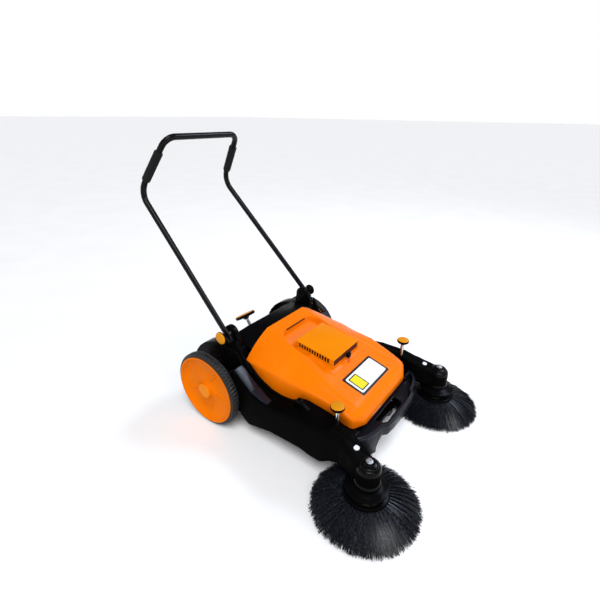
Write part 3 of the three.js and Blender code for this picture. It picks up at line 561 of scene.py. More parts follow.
def cover_ring(y, station):
    """The cover's outline across at y, out to the right, down to the hem and mirrored back."""
    top, flat, crease_z, crease_x = station
    edge_z = along(HOPPER_EDGE, y)
    recess = recess_half_width(y)
    across = [0, 0.4 * recess, 0.8 * recess] + [recess - d for d in (9, 7, 5, 3.2, 1.6, 0)]
    half = [(x, top - scoop_depth(x, y)) for x in across]
    half.append(((recess + flat - 4) / 2, top))
    slope_end = (crease_x - 5, crease_z + 3.8)
    shoulder = [(flat - 4, top - 0.2), (flat, top - 0.9), (flat + 3.5, top - 2.8)]
    sloped = []
    for t in (0.15, 0.3, 0.45, 0.6, 0.75, 0.88, 1.0):
        x = shoulder[-1][0] * (1 - t) + slope_end[0] * t
        z = shoulder[-1][1] * (1 - t) + slope_end[1] * t
        sloped.append((x, z + 0.1 * max(top - crease_z, 0) * math.sin(math.pi * t)))
    corner = [(crease_x - 2.4, crease_z + 1.6), (crease_x - 0.6, crease_z - 1.2)]
    corner.append((crease_x, crease_z - 5))
    low = max(min(edge_z, crease_z - 7), 156)
    wall = [(crease_x - 5 * t, crease_z - 5 + (low - crease_z + 5) * t) for t in (0.5, 0.9)]
    hem = [(crease_x - 5.4, low), (crease_x - 8, low - 0.5)]
    right = half + shoulder + sloped + corner + wall + hem
    return [(x, y, z) for x, z in right + [(-x, z) for x, z in reversed(right[1:])]]


def cover_faces(ring_count, count):
    """The skin between the rings, left open along the underside, and the end face of the front ring."""
    hem = (count + 1) // 2
    faces = []
    for i in range(ring_count - 1):
        for j in range(count):
            if j != hem - 1:
                a, b = i * count + j, i * count + (j + 1) % count
                faces.append((a, b, b + count, a + count))
    front = (ring_count - 1) * count
    for j in range(1, hem - 1):
        a, b = front + j, front + j + 1
        faces.append((a, b, front + count - j - 1, front + count - j))
    faces.append((front, front + 1, front + count - 1))
    return faces


def hopper_stations(lines):
    """The stations' values at each y of lines, on smooth curves."""
    curve = smooth_line([(s[0], *s[1:]) for s in STATIONS], 400)
    order = np.argsort(curve[:, 0])
    ys, columns = curve[order, 0], [curve[order, k] for k in range(1, 5)]
    return {y: tuple(float(np.interp(y, ys, column)) for column in columns) for y in lines}


def lid_top(y):
    """Height of the lid's top plate."""
    return along([(LID_REAR, 324), (LID_FRONT + 5, 302)], y)


def blocks(name, boxes):
    """Upright blocks as one mesh: each is an x range, a y range, and heights of its underside and top."""
    points, faces = [], []
    for (x0, x1), (y0, y1), low, high in boxes:
        base = len(points)
        for level in (low, high):
            points += [(x0, y0, level(y0)), (x1, y0, level(y0)), (x1, y1, level(y1)), (x0, y1, level(y1))]
        for quad in ((0, 1, 2, 3), (4, 5, 6, 7), (0, 1, 5, 4), (1, 2, 6, 5), (2, 3, 7, 6), (3, 0, 4, 7)):
            faces.append(tuple(base + k for k in quad))
    return skin(name, points, faces)


def drawn_in(outline, inset, height, lift):
    """A ring of the lid's outline, drawn in by inset mm and lifted over the height at each point."""
    ring = []
    for x, y in outline:
        shifted = y + (inset if y < LID_MIDDLE else -inset)
        ring.append((x * (1 - inset / LID_HALF_WIDTH), shifted, height(y) + lift))
    return ring


def filter_lid():
    """The lid: top plate, walls and dark inside, then the plinth, the finger slot and the latch."""
    w = LID_HALF_WIDTH
    outline = rounded_outline([(-w, LID_FRONT), (w, LID_FRONT), (w, LID_REAR), (-w, LID_REAR)], [4] * 4)
    layers = ((-LID_SKIRT, 0), (-1.8, 0), (-0.5, 0.6), (0, 2))
    rings = [drawn_in(outline, inset, lid_top, lift) for lift, inset in layers]
    plate = lofted("lid_plate", rings)
    finish_piece(plate, LID_ORANGE, "filter_lid", ["filter_lid"], 40)
    lid_walls(w)
    inside = (-w + 2, w - 2)
    dark = [((-w + 1.8, w - 1.8), (LID_FRONT + 6, LID_REAR - 2), lambda y: ledge(y) + 1, lid_underside)]
    finish_piece(blocks("lid_hollow", dark), SLOT_DARK, "filter_lid", sharp=30)
    mouth = [(inside, (LID_FRONT + 2.5, LID_FRONT + 6), lambda y: UPSTAND_TOP - 1, lid_underside)]
    finish_piece(blocks("lid_mouth", mouth), GAP_BROWN, "filter_lid", sharp=30)
    front = [(inside, (LID_FRONT, LID_FRONT + 3), lambda y: deck_height(y) - 3, lambda y: UPSTAND_TOP)]
    finish_piece(blocks("lid_upstand", front), ORANGE, "hopper", sharp=30)
    plinth(w)
    slot = [((-60, 54), (-167.4, -164.4), lambda y: 331.4, lambda y: 335)]
    finish_piece(blocks("finger_slot", slot), GAP_BROWN, "hopper", sharp=30)
    latch()


def lid_walls(w):
    """The lid's side walls, with twelve upright slots in each."""
    walls = []
    edges = [LID_REAR]
    for number in range(12):
        middle = -246 - 10.9 * number
        edges += [middle + 3.8, middle - 3.8]
    edges.append(LID_FRONT)
    for side in (-1, 1):
        inside, outside = side * (w - 1.6), side * (w - 0.3)
        x_range = (min(inside, outside), max(inside, outside))
        for start, end in zip(edges[::2], edges[1::2]):
            walls.append((x_range, (end, start), slot_foot, lambda y: lid_top(y) - LID_SKIRT + 0.5))
        walls.append((x_range, (LID_MIDDLE, LID_REAR), wall_foot, slot_foot))
        walls.append((x_range, (LID_FRONT, LID_MIDDLE), lambda y: deck_height(y) + 1, slot_foot))
    finish_piece(blocks("lid_walls", walls), LID_ORANGE, "filter_lid", sharp=30)


def wall_foot(y):
    """Height of the walls' lower edge behind the lid's middle."""
    return deck_height(y) + 0.5 - ledge_drop(y)


def ledge(y):
    """Height of the ledge beside the lid."""
    return deck_height(y) - ledge_drop(y)


def lid_underside(y):
    return lid_top(y) - LID_SKIRT + 0.2


def latch():
    """The lid's catch: an orange leaf out of the deck with a black hook over the lid's edge."""
    leaf = blocks("latch_leaf", [((-4, 4), (-405, -402), lambda y: deck_height(y) + 1, lambda y: 290)])
    finish_piece(leaf, ORANGE, "lid_latch", sharp=30)
    outline = [(-394, 279), (-394, 292), (-397, 295), (-402, 294.5), (-405.5, 291), (-405.5, 277)]
    hook = slab("latch_hook", outline, -11, 8, "yz", 1, 1.2)
    finish_piece(hook, BLACK, "lid_latch", ["lid_latch"], 40)


def ledge_drop(y):
    """How far the ledge beside the lid lies below the deck."""
    return max(deck_height(y) - lid_top(y) + 24, 0)


def slot_foot(y):
    """Height of the lower end of the lid's side slots."""
    return max(deck_height(y) + 3.6 - ledge_drop(y), lid_top(y) - 24)


def plinth(w):
    """The low step of the deck round the lid."""
    rim = rounded_outline(
        [(-w - 15, LID_FRONT - 14), (w + 15, LID_FRONT - 14), (w + 15, -296), (-w - 15, -296)],
        [9, 9, 4, 4],
    )
    layers = ((-4, -2), (0.4, 0), (2.6, 0.6), (3.4, 1.8))
    rings = [drawn_in(rim, inset, deck_height, lift) for lift, inset in layers]
    finish_piece(lofted("lid_plinth", rings), ORANGE, "hopper", sharp=50)


def label():
    tilt = math.atan2(deck_height(-440) - deck_height(-515), 75)
    normal = Vector((0, -math.sin(tilt), math.cos(tilt)))
    up = Vector((0, math.cos(tilt), math.sin(tilt)))
    middle = Vector((0, -474, deck_height(-474) + 0.4))

    def plate(name, width, height, corner, shift, low, high, material):
        outline = rounded_box(0, 0, width / 2, height / 2, corner)
        rings = [
            [tuple(middle + Vector((u + shift, 0, 0)) + up * v + normal * lift) for u, v in outline]
            for lift in (low, high)
        ]
        piece = lofted(name, rings)
        finish_piece(piece, material, "hopper", sharp=50)

    plate("label_border", 190, 90, 4, 0, -2.5, 0.5, LABEL_BLACK)
    plate("label_panel", 174, 74, 7, 0, -2, 0.9, LABEL_WHITE)
    plate("label_block", 48, 60, 4, -54, -2, 1.1, LABEL_BLACK)
    plate("label_patch", 40, 52, 3, -54, -2, 1.3, LABEL_YELLOW)


# ---- wheels ----
TYRE_PROFILE = [
    (130.8, 297.5), (134, 296.6), (138, 296.2), (141, 297.4), (142.6, 299), (143.6, 301.5), (144, 304),
    (144, 309), (142, 310), (142, 311.5), (144, 312.5), (144, 317), (143.7, 320), (142.8, 323.5),
    (140.6, 326.6), (137.4, 328.4), (133.4, 329), (130.8, 328.6),
]
DISC_PROFILE = [
    (8.5, 296), (22, 296), (24, 304), (60, 300), (108, 301), (122, 300), (126, 298), (128, 296),
    (130.6, 296), (130.6, 329), (131.4, 330.4), (131.2, 332), (129.6, 332.6), (127.2, 332.2),
    (125.2, 330.6), (123, 325), (118, 319.4), (110, 315), (96, 311.4), (78, 309.6), (58, 310.4), (44, 314),
    (36, 318.6), (31.5, 323), (29, 327), (28, 330.4), (8.5, 330.6),
]
# The disc's dished face, as (radius, height), where the ribs stand.
DISH = [(28, 326), (36, 318.6), (44, 314), (58, 310.4), (78, 309.6), (96, 311.4), (118, 319.4)]
TREAD_BLOCKS = 64


def wheel(side_name, side):
    centre = (0, 0, WHEEL_R)
    body = "wheel_" + side_name

    def tread(angle, radius, height):
        if radius < WHEEL_R - 1.6:
            return radius
        lean = 0.35 * math.sin((height - 296) / 33 * 2 * math.pi)
        place = (angle * TREAD_BLOCKS / (2 * math.pi) + lean + (0.5 if height < 311 else 0)) % 1
        return radius - (0 if place < 0.68 else 3.2)

    tyre = turned("tyre_tread_" + side_name, TYRE_PROFILE, centre, "x", 384, side, tread)
    finish_piece(tyre, TYRE, body, ["tyre_" + side_name], 28)
    disc = turned("rim_disc_" + side_name, DISC_PROFILE, centre, "x", 160, side)
    finish_piece(disc, WHEEL_ORANGE, body, ["rim_" + side_name], 60)
    for number in range(5):
        wheel_rib(side_name, side, number)
    cap = [(0, 330.2), (28, 330.2), (28.6, 331.4), (28.2, 333.2), (26.6, 334.6), (23, 335.6), (12, 336.2)]
    cap += [(5, 336.4), (0, 336.5)]
    dome = turned("hub_dome_" + side_name, cap, centre, "x", 72, side)
    finish_piece(dome, LID_ORANGE, body, ["hub_cap_" + side_name], 60, "orange_plastic")


def wheel_rib(side_name, side, number):
    """A low curved rib that rises out of the wheel's dished face between the hub and the rim."""
    start = 2 * math.pi * number / 5 + 0.62
    steps = 20
    rings = []
    for i in range(steps + 1):
        t = i / steps
        radius = 30 + 88 * t
        angle = start + 0.3 * math.sin(math.pi * t * 0.5)
        y, z = radius * math.cos(angle), WHEEL_R + radius * math.sin(angle)
        ny, nz = -math.sin(angle), math.cos(angle)
        width = 7.5 - 2 * t
        face = along(DISH, radius)
        rise = 4.6 * math.sin(math.pi * min(t * 1.15, 1)) ** 0.8 + 0.2
        ring = [(face - 3, y - ny * width, z - nz * width)]
        for k in range(-4, 5):
            across = k / 4
            height = face + rise * math.cos(across * math.pi / 2) ** 1.5 - 0.5
            ring.append((height, y + ny * width * across, z + nz * width * across))
        ring.append((face - 3, y + ny * width, z + nz * width))
        rings.append(ring)
    rib = lofted(f"rim_rib_{side_name}_{number}", rings, side)
    finish_piece(rib, WHEEL_ORANGE, "wheel_" + side_name, sharp=80)


# ---- side arms ----
ARM_TOP = [
    (-20, 205), (-70, 216), (-100, 250), (-112, 262), (-150, 231), (-190, 199), (-235, 185), (-285, 182),
    (-340, 192), (-400, 203), (-500, 204), (-560, 192), (-612, 172), (-640, 163),
]
ARM_BOTTOM = [
    (-60, 90), (-135, 90), (-153, 68), (-177, 55), (-225, 64), (-271, 75), (-337, 77), (-399, 78),
    (-439, 70), (-478, 69), (-514, 95), (-539, 103), (-640, 103),
]
ARM_OUTER = [(60, 292), (-545, 292), (-575, 299), (-605, 312), (-640, 321)]
ARM_INNER = [(60, 245), (-172, 245), (-186, 232), (-560, 232), (-600, 244), (-640, 256)]


def arm_section(y):
    """The arm's outline across at one y: a box with a broad chamfer outboard and a seam along the top."""
    top, bottom = along(ARM_TOP, y), along(ARM_BOTTOM, y)
    outer, inner = along(ARM_OUTER, y), along(ARM_INNER, y)
    seam = 262
    points = [
        (inner, bottom + 3), (inner + 3, bottom), (outer - 3, bottom), (outer - 0.6, bottom + 1.2),
        (outer, bottom + 4), (outer, top - 12), (outer - 1, top - 7.5), (outer - 4, top - 3.2),
        (outer - 8.5, top - 1), (outer - 13, top - 0.3), (seam + 1.6, top), (seam + 0.9, top - 0.5),
        (seam + 0.5, top - 2), (seam - 0.5, top - 2), (seam - 0.9, top - 0.5), (seam - 1.6, top),
        (inner + 6, top), (inner + 2.2, top - 1), (inner + 0.5, top - 3), (inner, top - 7),
    ]
    return [(x, y, z) for x, z in points]


def arm_lines():
    lines = list(np.linspace(-66, -136, 22)) + list(np.linspace(-141, -240, 24))
    lines += list(np.linspace(-248, -500, 34)) + list(np.linspace(-505, -640, 28))
    return lines


def side_arm(side_name, side):
    body = "arm_" + side_name
    rings = [arm_section(float(y)) for y in arm_lines()]
    hull = lofted("arm_housing_" + side_name, rings, side)
    soften = hull.modifiers.new("softened", "SMOOTH")
    soften.factor = 0.35
    soften.iterations = 2
    profile = [(14.6, 247), (56, 247), (59, 250), (59, 288), (56, 291.5), (25, 292), (14.6, 288)]
    boss = turned("arm_boss_" + side_name, profile, (0, 0, WHEEL_R), "x", 72, side)
    outline = [(-100, 92), (-20, 92), (30, 110), (30, 180), (-20, 203), (-68, 214), (-100, 244)]
    neck = slab("arm_neck_" + side_name, outline, 246, 291.5, "yz", side, 3)
    finish_piece(hull, SATIN_BLACK, body, ["arm_outer_shell_" + side_name], 38)
    finish_piece(boss, BLACK, body, ["arm_inner_shell_" + side_name], 38)
    finish_piece(neck, SATIN_BLACK, body, sharp=38)
    arm_sheen_band(side_name, side, body)
    gear_head(side_name, side, body)
    arm_details(side_name, side, body)


def arm_sheen_band(side_name, side, body):
    """A glossy strip laid over the arm's steep rear end; its blue-grey colour is a painted highlight
    standing in for the strip light's reflection.
    """
    rings = []
    for y in np.linspace(-117, -262, 30):
        top, outer = along(ARM_TOP, y), along(ARM_OUTER, y)
        inner = along([(-262, 264), (-200, 247), (-150, 248), (-117, 247)], y)
        section = [(inner, -4), (outer - 6, -4), (outer - 5.5, 0.2), (outer - 9, 1.1)]
        section += [(inner + 2, 1.1), (inner, 0.4)]
        rings.append([(x, float(y), top + lift) for x, lift in section])
    finish_piece(lofted("arm_sheen_band_" + side_name, rings, side), SHEEN_PAINTED_BLACK, body, sharp=50)


def gear_head(side_name, side, body):
    """The head over the disc brush: barrel, collar, dome, bolt and dust flange."""
    barrel = [(0, 105), (37, 105), (36.6, 150), (0, 150)]
    collar = [(30, 99), (33, 97), (38, 97), (40, 99.4), (40, 104), (39, 108), (37, 111.5)]
    collar += [(34, 112), (30, 112)]
    dome = [(0, 148), (36.6, 148), (35.8, 156), (33.6, 162), (30.5, 165.2), (28, 166.4), (27.4, 169)]
    dome += [(25.5, 171.2), (21, 172.6), (17, 173.4), (15.4, 176.8), (0, 177.2)]
    bolt = [(0, 160), (4, 160), (4, 177), (10.4, 177), (10.6, 178.4), (7.8, 178.8), (7.8, 182.4)]
    bolt += [(6.4, 184.4), (0, 184.8)]
    flange = [(24, 94), (24, 98), (40, 98), (44, 97.2), (53, 92.8), (60, 90), (64.6, 88.8), (65.4, 86.6)]
    flange += [(64.6, 84), (62, 83.2), (54, 86.4), (42, 92), (34, 94)]
    rows = (
        ("gear_head", "", SATIN_BLACK, 96, 42, barrel),
        ("head_collar", "", HEAD_BLACK, 96, 42, collar),
        ("head_dome", "", HEAD_BLACK, 96, 42, dome),
        ("head_bolt_shank", "head_bolt", STEEL, 48, 30, bolt),
        ("dust_dish", "dust_flange", BLACK, 120, 42, flange),
    )
    turned_set(side_name, side, body, (*BRUSH, 0), "z", rows)


def arm_details(side_name, side, body):
    """The holes in the arm's top, the lug beside the hopper and the white screw cap."""
    holes = ((281, -312, 7, 17), (270, -350, 5, 8), (252, -385, 5.5, 26))
    for number, (x, y, half_x, half_y) in enumerate(holes):
        shape = rounded_box(x, y, half_x, half_y, half_x)
        rings = [[(px, py, along(ARM_TOP, py) + lift) for px, py in shape] for lift in (-3, 0.5)]
        hole = lofted(f"top_slot_{side_name}_{number}", rings, side)
        finish_piece(hole, SLOT_DARK, body, sharp=40)
    outline = [(-340, 190), (-350, 221), (-357, 227), (-370, 227), (-383, 214), (-404, 203)]
    outline += [(-404, 196), (-340, 186)]
    lug = slab("arm_lug_" + side_name, outline, 233, 249, "yz", side, 3)
    finish_piece(lug, BLACK, body, sharp=40)
    cap = [(0, 0), (9.5, 0), (9.5, 2.4), (8.6, 3.4), (5, 3.9), (4.4, 3.2), (0, 3.2)]
    rows = [("screw_cap", "", LABEL_WHITE, 40, 40, cap)]
    turned_set(side_name, side, body, (271, -590, along(ARM_TOP, -590) - 1.2), "z", rows)


def side_knob(side_name, side):
    body = "side_knob_" + side_name
    centre = (*SIDE_KNOB, 0)
    skirt = [(0, 250.8), (8.8, 250.8), (9.4, 253), (10, 254.6), (13, 256.6), (18, 258.6), (21.4, 260.4)]
    skirt += [(22.6, 262.4), (22.8, 268.6), (22, 269.8), (0, 269.8)]
    cap = [(0, 268), (21, 268), (21.6, 269.8), (21, 271.6), (18.8, 272.8), (10, 273.6), (0, 273.8)]
    rows = (
        ("height_knob_skirt", "", BLACK, 72, 45, skirt),
        ("height_knob_cap", "height_knob", CAP_ORANGE, 72, 45, cap),
    )
    turned_set(side_name, side, body, centre, "z", rows)

    profile = [(0, 146.4)] + [(THREAD_R, 146.4 + 0.75 * i) for i in range(142)] + [(0, 252.6)]
    stud = turned("height_stud_thread_" + side_name, profile, centre, "z", 24, side, thread(1.5))
    finish_piece(stud, CHROME, body, ["height_stud_" + side_name], 60)


# ---- brushes ----
def bristle_bundle(name, strands, body, hides, side=1):
    """Many tapered three-sided strands as one mesh; each strand is a list of points and a radius."""
    points, faces = [], []
    for path, radius in strands:
        base = len(points)
        count = len(path)
        for i, point in enumerate(path):
            ahead = path[min(i + 1, count - 1)] - path[max(i - 1, 0)]
            across = ahead.cross(Vector((0.13, 0.31, 0.94))).normalized()
            upward = across.cross(ahead).normalized()
            width = radius * (1 - 0.55 * i / (count - 1))
            for k in range(3):
                angle = 2 * math.pi * k / 3 + 0.4
                points.append(point + across * width * math.cos(angle) + upward * width * math.sin(angle))
        for i in range(count - 1):
            for k in range(3):
                a, b = base + 3 * i + k, base + 3 * i + (k + 1) % 3
                faces.append((a, b, b + 3, a + 3))
        faces.append((base, base + 1, base + 2))
        tip = base + 3 * (count - 1)
        faces.append((tip, tip + 2, tip + 1))
    piece = skin(name, points, faces, side)
    finish_piece(piece, BRISTLE, body, hides, 80)


def disc_brush(side_name, side):
    body = "side_brush_" + side_name
    hub = [(0, 55), (58, 55), (60, 52), (66, 52), (69, 55), (69.4, 61), (68, 65.4), (65, 66.8), (58, 66.8)]
    hub += [(55.5, 68.4), (54, 70.8), (50, 72.4), (34, 73.4), (30, 75.6), (28, 79), (16, 79.4), (16, 71)]
    hub += [(0, 71)]
    root = [(44, 52), (62, 52), (90, 40), (124, 24), (150, 8), (148, 3), (118, 14), (84, 30), (60, 40)]
    rows = (("brush_plate", "brush_hub", BLACK, 120, 42, hub), ("bristle_root", "", BRISTLE, 96, 60, root))
    turned_set(side_name, side, body, (*BRUSH, 0), "z", rows)
    rng = random.Random(7)
    strands = []
    tufts = 44
    for row, (root, height) in enumerate(((50, 54), (56, 56), (62, 58))):
        for tuft in range(tufts):
            middle = 2 * math.pi * (tuft + row / 3 + rng.uniform(-0.12, 0.12)) / tufts
            reach = BRUSH_REACH - 7 + 3 * row + rng.uniform(-4, 2)
            lean = rng.uniform(-0.03, 0.03)
            for _ in range(15):
                strands.append(disc_strand(rng, middle, root, height, reach, lean))
    bristle_bundle("bristles_" + side_name, strands, body, ["brush_bristles_" + side_name], side)


def disc_strand(rng, middle, root, height, reach, lean):
    """One strand of a disc brush: out of its tuft's hole, fanning out and bending down to the floor."""
    fan = rng.gauss(0, 0.042)
    start = middle + rng.uniform(-0.02, 0.02)
    far = min(reach + rng.uniform(-5, 3), BRUSH_REACH + 2)
    end_height = max(rng.gauss(6, 4), 1.2)
    path = []
    for t in (0, 0.3, 0.6, 0.82, 1):
        radius = root + (far - root) * t
        angle = start + (fan + lean) * t
        z = height * (1 - t) + end_height * t + 10.5 * math.sin(math.pi * t) + rng.uniform(-0.7, 0.7)
        path.append(Vector((BRUSH[0] + radius * math.cos(angle), BRUSH[1] + radius * math.sin(angle), z)))
    return path, 1.25


def roller_brush():
    """The main roller: rows of tufts wound in a shallow V round its core."""
    rng = random.Random(11)
    strands = []
    rows, tufts = 12, 46
    for row in range(rows):
        for tuft in range(tufts):
            x = -176 + 352 * tuft / (tufts - 1)
            angle = 2 * math.pi * row / rows + 0.5 * abs(x) / 176
            for _ in range(4):
                spread = rng.gauss(0, 0.05)
                shift = rng.gauss(0, 2.5)
                path = []
                for radius in (24, 60, 95.5):
                    t = (radius - 24) / 71.5
                    turn = angle + spread * t
                    y, z = ROLLER[0] + radius * math.cos(turn), ROLLER[1] + radius * math.sin(turn)
                    path.append(Vector((x + shift * t, y, z)))
                strands.append((path, 1.6))
    bristle_bundle("roller_tufts", strands, "main_roller", ["roller_bristles"])


# ---- handle ----
def handle():
    start = Vector(PIVOT)
    low, top = Vector(HANDLE_LOW), Vector(HANDLE_TOP)
    direction = (low - start).normalized()
    half = [start - direction * 30, start + direction * 26, low, top]
    corners = half + [Vector((-p.x, p.y, p.z)) for p in reversed(half)]
    radii = [400, 60, 45, 45, 60, 400]
    path = rounded_path(corners, radii, 12)

    def flattened(i):
        from_end = min((path[i] - path[0]).length, (path[i] - path[-1]).length)
        share = min(max((from_end - 38) / 26, 0), 1)
        share = share * share * (3 - 2 * share)
        return (0.5 + 0.5 * share, 1.18 - 0.18 * share)

    extra = [start - direction * d for d in (29, 20, 8, -4, -14, -22)]
    other = [Vector((-p.x, p.y, p.z)) for p in reversed(extra)]
    path = extra + path[14:-14] + other
    tube = swept("handle_bar", path, 11, 32, 1, flattened)
    finish_piece(tube, PAINT, "handle", ["handle_tube"], 50)
    axis = (top - low).normalized()
    for side_name, side in SIDES:
        begin = low + axis * 54
        stations = (0, 1.5, 4, 10, 62, 115, 121, 123.5, 125)
        widths = {0: 0.8, 8: 0.8, 1: 0.93, 7: 0.93, 2: 0.99, 6: 0.99}
        grip_path = [begin + axis * s for s in stations]

        def pinched(i):
            return (widths.get(i, 1), widths.get(i, 1))

        grip = swept("grip_sleeve_" + side_name, grip_path, 15.5, 40, side, pinched)
        finish_piece(grip, FOAM, "handle", ["grip_" + side_name], 50)
        bolt_head(side_name, side, start)


def bolt_head(side_name, side, place):
    head = [(0, -15.4), (5.5, -15.2), (7.4, -14), (7.4, -5), (0, -5)]
    turned_set(side_name, side, "handle", tuple(place), "x", [("tube_bolt", "", STEEL, 32, 40, head)])


def clamp_knob(side_name, side):
    hub = [(0, 208), (4, 208), (4, 250.4), (11, 250.4), (12, 255), (16, 260.5), (21.4, 264), (22.6, 266)]
    hub += [(22.6, 269.4), (0, 269.8)]
    cap = [(0, 268), (21.4, 268), (22.4, 269.8), (21.6, 271.8), (19, 273), (10, 273.6), (0, 273.8)]
    rows = (("clamp_hub", "", BLACK, 72, 42, hub), ("clamp_cap", "clamp_knob", CAP_ORANGE, 72, 45, cap))
    turned_set(side_name, side, "clamp_knob_" + side_name, (0, PIVOT[1], PIVOT[2]), "x", rows)


def rear_knob():
    """The roller's height knob: a wide disc on a stud that leans back."""
    turn = Matrix.Rotation(-REAR_TILT, 4, "X")
    place = Matrix.Translation(at(*REAR_KNOB)) @ turn

    dish = [(0, -16), (9.5, -16), (10.5, -13), (14, -9.6), (22, -7.6), (37, -7), (41.6, -5.6)]
    dish += [(43.4, -2.6), (43.4, 3), (42, 5), (40.6, 5.4), (0, 5.4)]
    plate = [(0, 4), (40.4, 4), (41.2, 5.6), (40.4, 7.2), (38, 8), (0, 8.2)]
    stud = [(0, -95.8)] + [(THREAD_R, -95.8 + 0.9 * i) for i in range(90)] + [(0, -15)]
    rows = (
        ("rear_knob_dish", dish, BLACK, (), None),
        ("rear_knob_plate", plate, CAP_ORANGE, ["rear_height_knob"], None),
        ("rear_stud_thread", stud, CHROME, ["rear_height_stud"], thread(1.75)),
    )
    for name, profile, material, hides, wave in rows:
        piece = turned(name, profile, (0, -AXLE_Y * 1000, 0), "z", 96, 1, wave)
        piece.data.transform(place)
        finish_piece(piece, material, "rear_knob", hides, 42)


# ---- what the CAD shapes already show ----
BUMPER_EDGE = [
    (228, -547), (224, -560), (215, -572), (190, -588), (152, -600), (118, -605), (104, -617), (60, -621.5),
    (0, -623),
]


def bumper_rim():
    """The bevelled rim along the tray's top edge, in the sheen-painted black: its blue-grey colour is a
    painted highlight.
    """
    half = BUMPER_EDGE + [(-x, y) for x, y in reversed(BUMPER_EDGE[:-1])]
    rings = []
    for i, (x, y) in enumerate(half):
        before, after = half[max(i - 1, 0)], half[min(i + 1, len(half) - 1)]
        heading = Vector((after[0] - before[0], after[1] - before[1])).normalized()
        outward = Vector((heading.y, -heading.x))
        if outward.dot(Vector((x, y + 400))) < 0:
            outward = -outward
        section = ((0.6, 148), (1, 151), (0, 153.4), (-6.5, 158.4), (-8.6, 158.6), (-9.4, 157), (-9.4, 150))
        rings.append([(x + outward.x * d, y + outward.y * d, z) for d, z in section])
    finish_piece(lofted("bumper_rim", rings), SHEEN_PAINTED_BLACK, "chassis", sharp=30)


def bumper_skirt(side_name, side):
    """The thin lower wall of the tray's corner, above the side brush."""
    wall, top = 3, 85
    edge = ((150, -600, 71), (160, -597.5, 70), (172, -594, 72), (184, -590, 77), (194, -585.5, 82))
    rings = []
    for x, y, low in edge:
        rings.append([(x, y, top), (x, y, low), (x - 1, y + wall, low), (x - 1, y + wall, top)])
    finish_piece(lofted("bumper_skirt_" + side_name, rings, side), TRAY_BLACK, "chassis", sharp=30)


def roller_belt():
    """The roller's belt: the CAD belt's shape, cut across at even steps on the stretch beside the wheel's
    pulley, in tyre rubber.
    """
    # The cuts lie between these two distances, in metres, from the drive pulley's axis.
    bend_from, bend_to = 0.022, 0.050
    belt_x, steps = 203, 8
    drive, roller = at(belt_x, 0, WHEEL_R), at(belt_x, *ROLLER)
    heading = (roller - drive).normalized()
    start, end = drive + heading * bend_from, drive + heading * bend_to
    mesh = frame["nodes"]["roller_belt"].data.copy()
    piece = add_object("roller_belt_band", mesh)
    work = bmesh.new()
    work.from_mesh(mesh)
    for step in range(steps + 1):
        bmesh.ops.bisect_plane(
            work,
            geom=work.verts[:] + work.edges[:] + work.faces[:],
            plane_co=start.lerp(end, step / steps),
            plane_no=heading,
        )
    work.to_mesh(mesh)
    work.free()
    mesh.materials.clear()
    mesh.materials.append(TYRE)
    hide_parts("roller_belt")
    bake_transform(piece)


def carried_over():
    refined("front_bumper", TRAY_BLACK, 2.2, 3)
    bumper_rim()
    roller_belt()
    refined("rear_cover", BLACK, 2.0, 3)
    refined("chassis_frame", BLACK, 1.0)
    refined("hopper_bin", BLACK, 1.2)
    refined("brush_carriage", BLACK, 1.0)
    for side_name, side in SIDES:
        bumper_skirt(side_name, side)
        refined("shoulder_" + side_name, BLACK, 2.4, 4)
        refined("caster_fork_" + side_name, STEEL, 0.5)
        refined("caster_wheel_" + side_name, TYRE, 2.0, 3, "rubber")
    plain = {"roller_drive_pulley": BLACK, "roller_core": BLACK, "filter_cassette": FLEECE}
    pairs = {
        "axle_bush_": STEEL, "wheel_axle_": STEEL, "brush_shaft_": STEEL, "side_drive_pulley_": BLACK,
        "head_pulley_": BLACK, "side_belt_": TYRE,
    }
    for side_name, _ in SIDES:
        plain.update({node + side_name: material for node, material in pairs.items()})
    for node, material in plain.items():
        mesh = frame["nodes"][node].data
        mesh.materials.clear()
        mesh.materials.append(material)


# ---- studio ----
def area_light(name, place, target, size, energy, color):
    data = bpy.data.lights.new(name, "AREA")
    data.color = color
    data.shape = "RECTANGLE"
    data.size, data.size_y = size
    data.energy = energy
    lamp = add_object(name, data)
    lamp.location = place
    lamp.rotation_euler = (Vector(target) - Vector(place)).to_track_quat("-Z", "Y").to_euler()


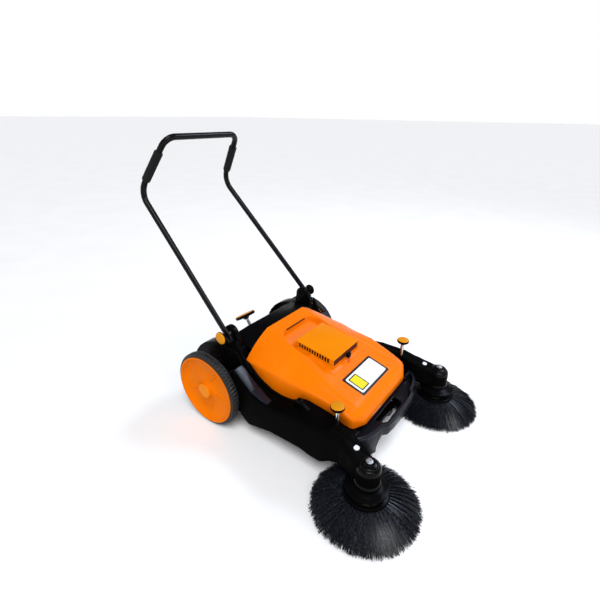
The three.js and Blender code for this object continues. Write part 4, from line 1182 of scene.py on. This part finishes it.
def studio():
    mesh = bpy.data.meshes.new("floor")
    reach = 90
    mesh.from_pydata(
        [(-reach, -reach, 0), (reach, -reach, 0), (reach, reach, 0), (-reach, reach, 0)], [], [(0, 1, 2, 3)]
    )
    floor = add_object("floor", mesh)
    nodes = Nodes("floor_paint")
    nodes.paint(nodes.noise(3, 4), [(0.3, (0.9, 0.9, 0.9)), (0.7, (0.93, 0.93, 0.93))])
    nodes.set(Roughness=0.95, Specular_IOR_Level=0.1)
    mesh.materials.append(nodes.material)
    bpy.context.scene.world = studio_sky()
    sun_data = bpy.data.lights.new("sun", "SUN")
    sun_data.energy = 2.3
    sun_data.angle = math.radians(34)
    sun = add_object("sun", sun_data)
    sun.rotation_euler = Vector((0.42, 0.3, -0.86)).to_track_quat("-Z", "Y").to_euler()
    area_light("strip", (1.95, -1.2, 2.75), (-0.1, 0, 0.2), (1.5, 0.6), 52, (0.74, 0.83, 1.0))
    area_light("front", (-0.9, -2.6, 1.5), (-0.1, -0.3, 0.2), (0.6, 0.6), 10, (1, 0.98, 0.96))
    bpy.context.scene.view_settings.view_transform = "Standard"


def studio_sky():
    """A bright horizon under a dim sky, so that glossy black stays black and the floor has no end."""
    world = bpy.data.worlds.new("studio")
    world.use_nodes = True
    tree = world.node_tree
    coords = tree.nodes.new("ShaderNodeTexCoord")
    parts = tree.nodes.new("ShaderNodeSeparateXYZ")
    ramp = tree.nodes.new("ShaderNodeValToRGB")
    ramp.color_ramp.elements[0].position = 0.24
    ramp.color_ramp.elements[0].color = (1, 1, 1, 1)
    ramp.color_ramp.elements[1].position = 0.42
    ramp.color_ramp.elements[1].color = (0.26, 0.27, 0.3, 1)
    tree.links.new(coords.outputs["Generated"], parts.inputs["Vector"])
    tree.links.new(parts.outputs["Z"], ramp.inputs["Fac"])
    tree.links.new(ramp.outputs["Color"], tree.nodes["Background"].inputs["Color"])
    tree.nodes["Background"].inputs["Strength"].default_value = 1.0
    return world


def camera():
    yaw, pitch, roll = CAMERA_YAW, CAMERA_PITCH, CAMERA_ROLL
    forward = Vector((-math.sin(yaw) * math.cos(pitch), math.cos(yaw) * math.cos(pitch), -math.sin(pitch)))
    right = forward.cross(Vector((0, 0, 1))).normalized()
    up = right.cross(forward)
    rolled_right = math.cos(roll) * right + math.sin(roll) * up
    rolled_up = math.cos(roll) * up - math.sin(roll) * right
    data = bpy.data.cameras.new("camera")
    data.sensor_width = 36
    data.lens = LENS
    data.clip_end = 200
    piece = add_object("camera", data)
    turn = Matrix((rolled_right, rolled_up, -forward)).transposed().to_4x4()
    piece.matrix_world = Matrix.Translation(at(*CAMERA_PLACE)) @ turn
    bpy.context.scene.camera = piece


hopper_cover()
filter_lid()
label()
for side_name, side in SIDES:
    wheel(side_name, side)
    side_arm(side_name, side)
    side_knob(side_name, side)
    disc_brush(side_name, side)
    clamp_knob(side_name, side)
roller_brush()
handle()
rear_knob()
carried_over()
studio()
camera()
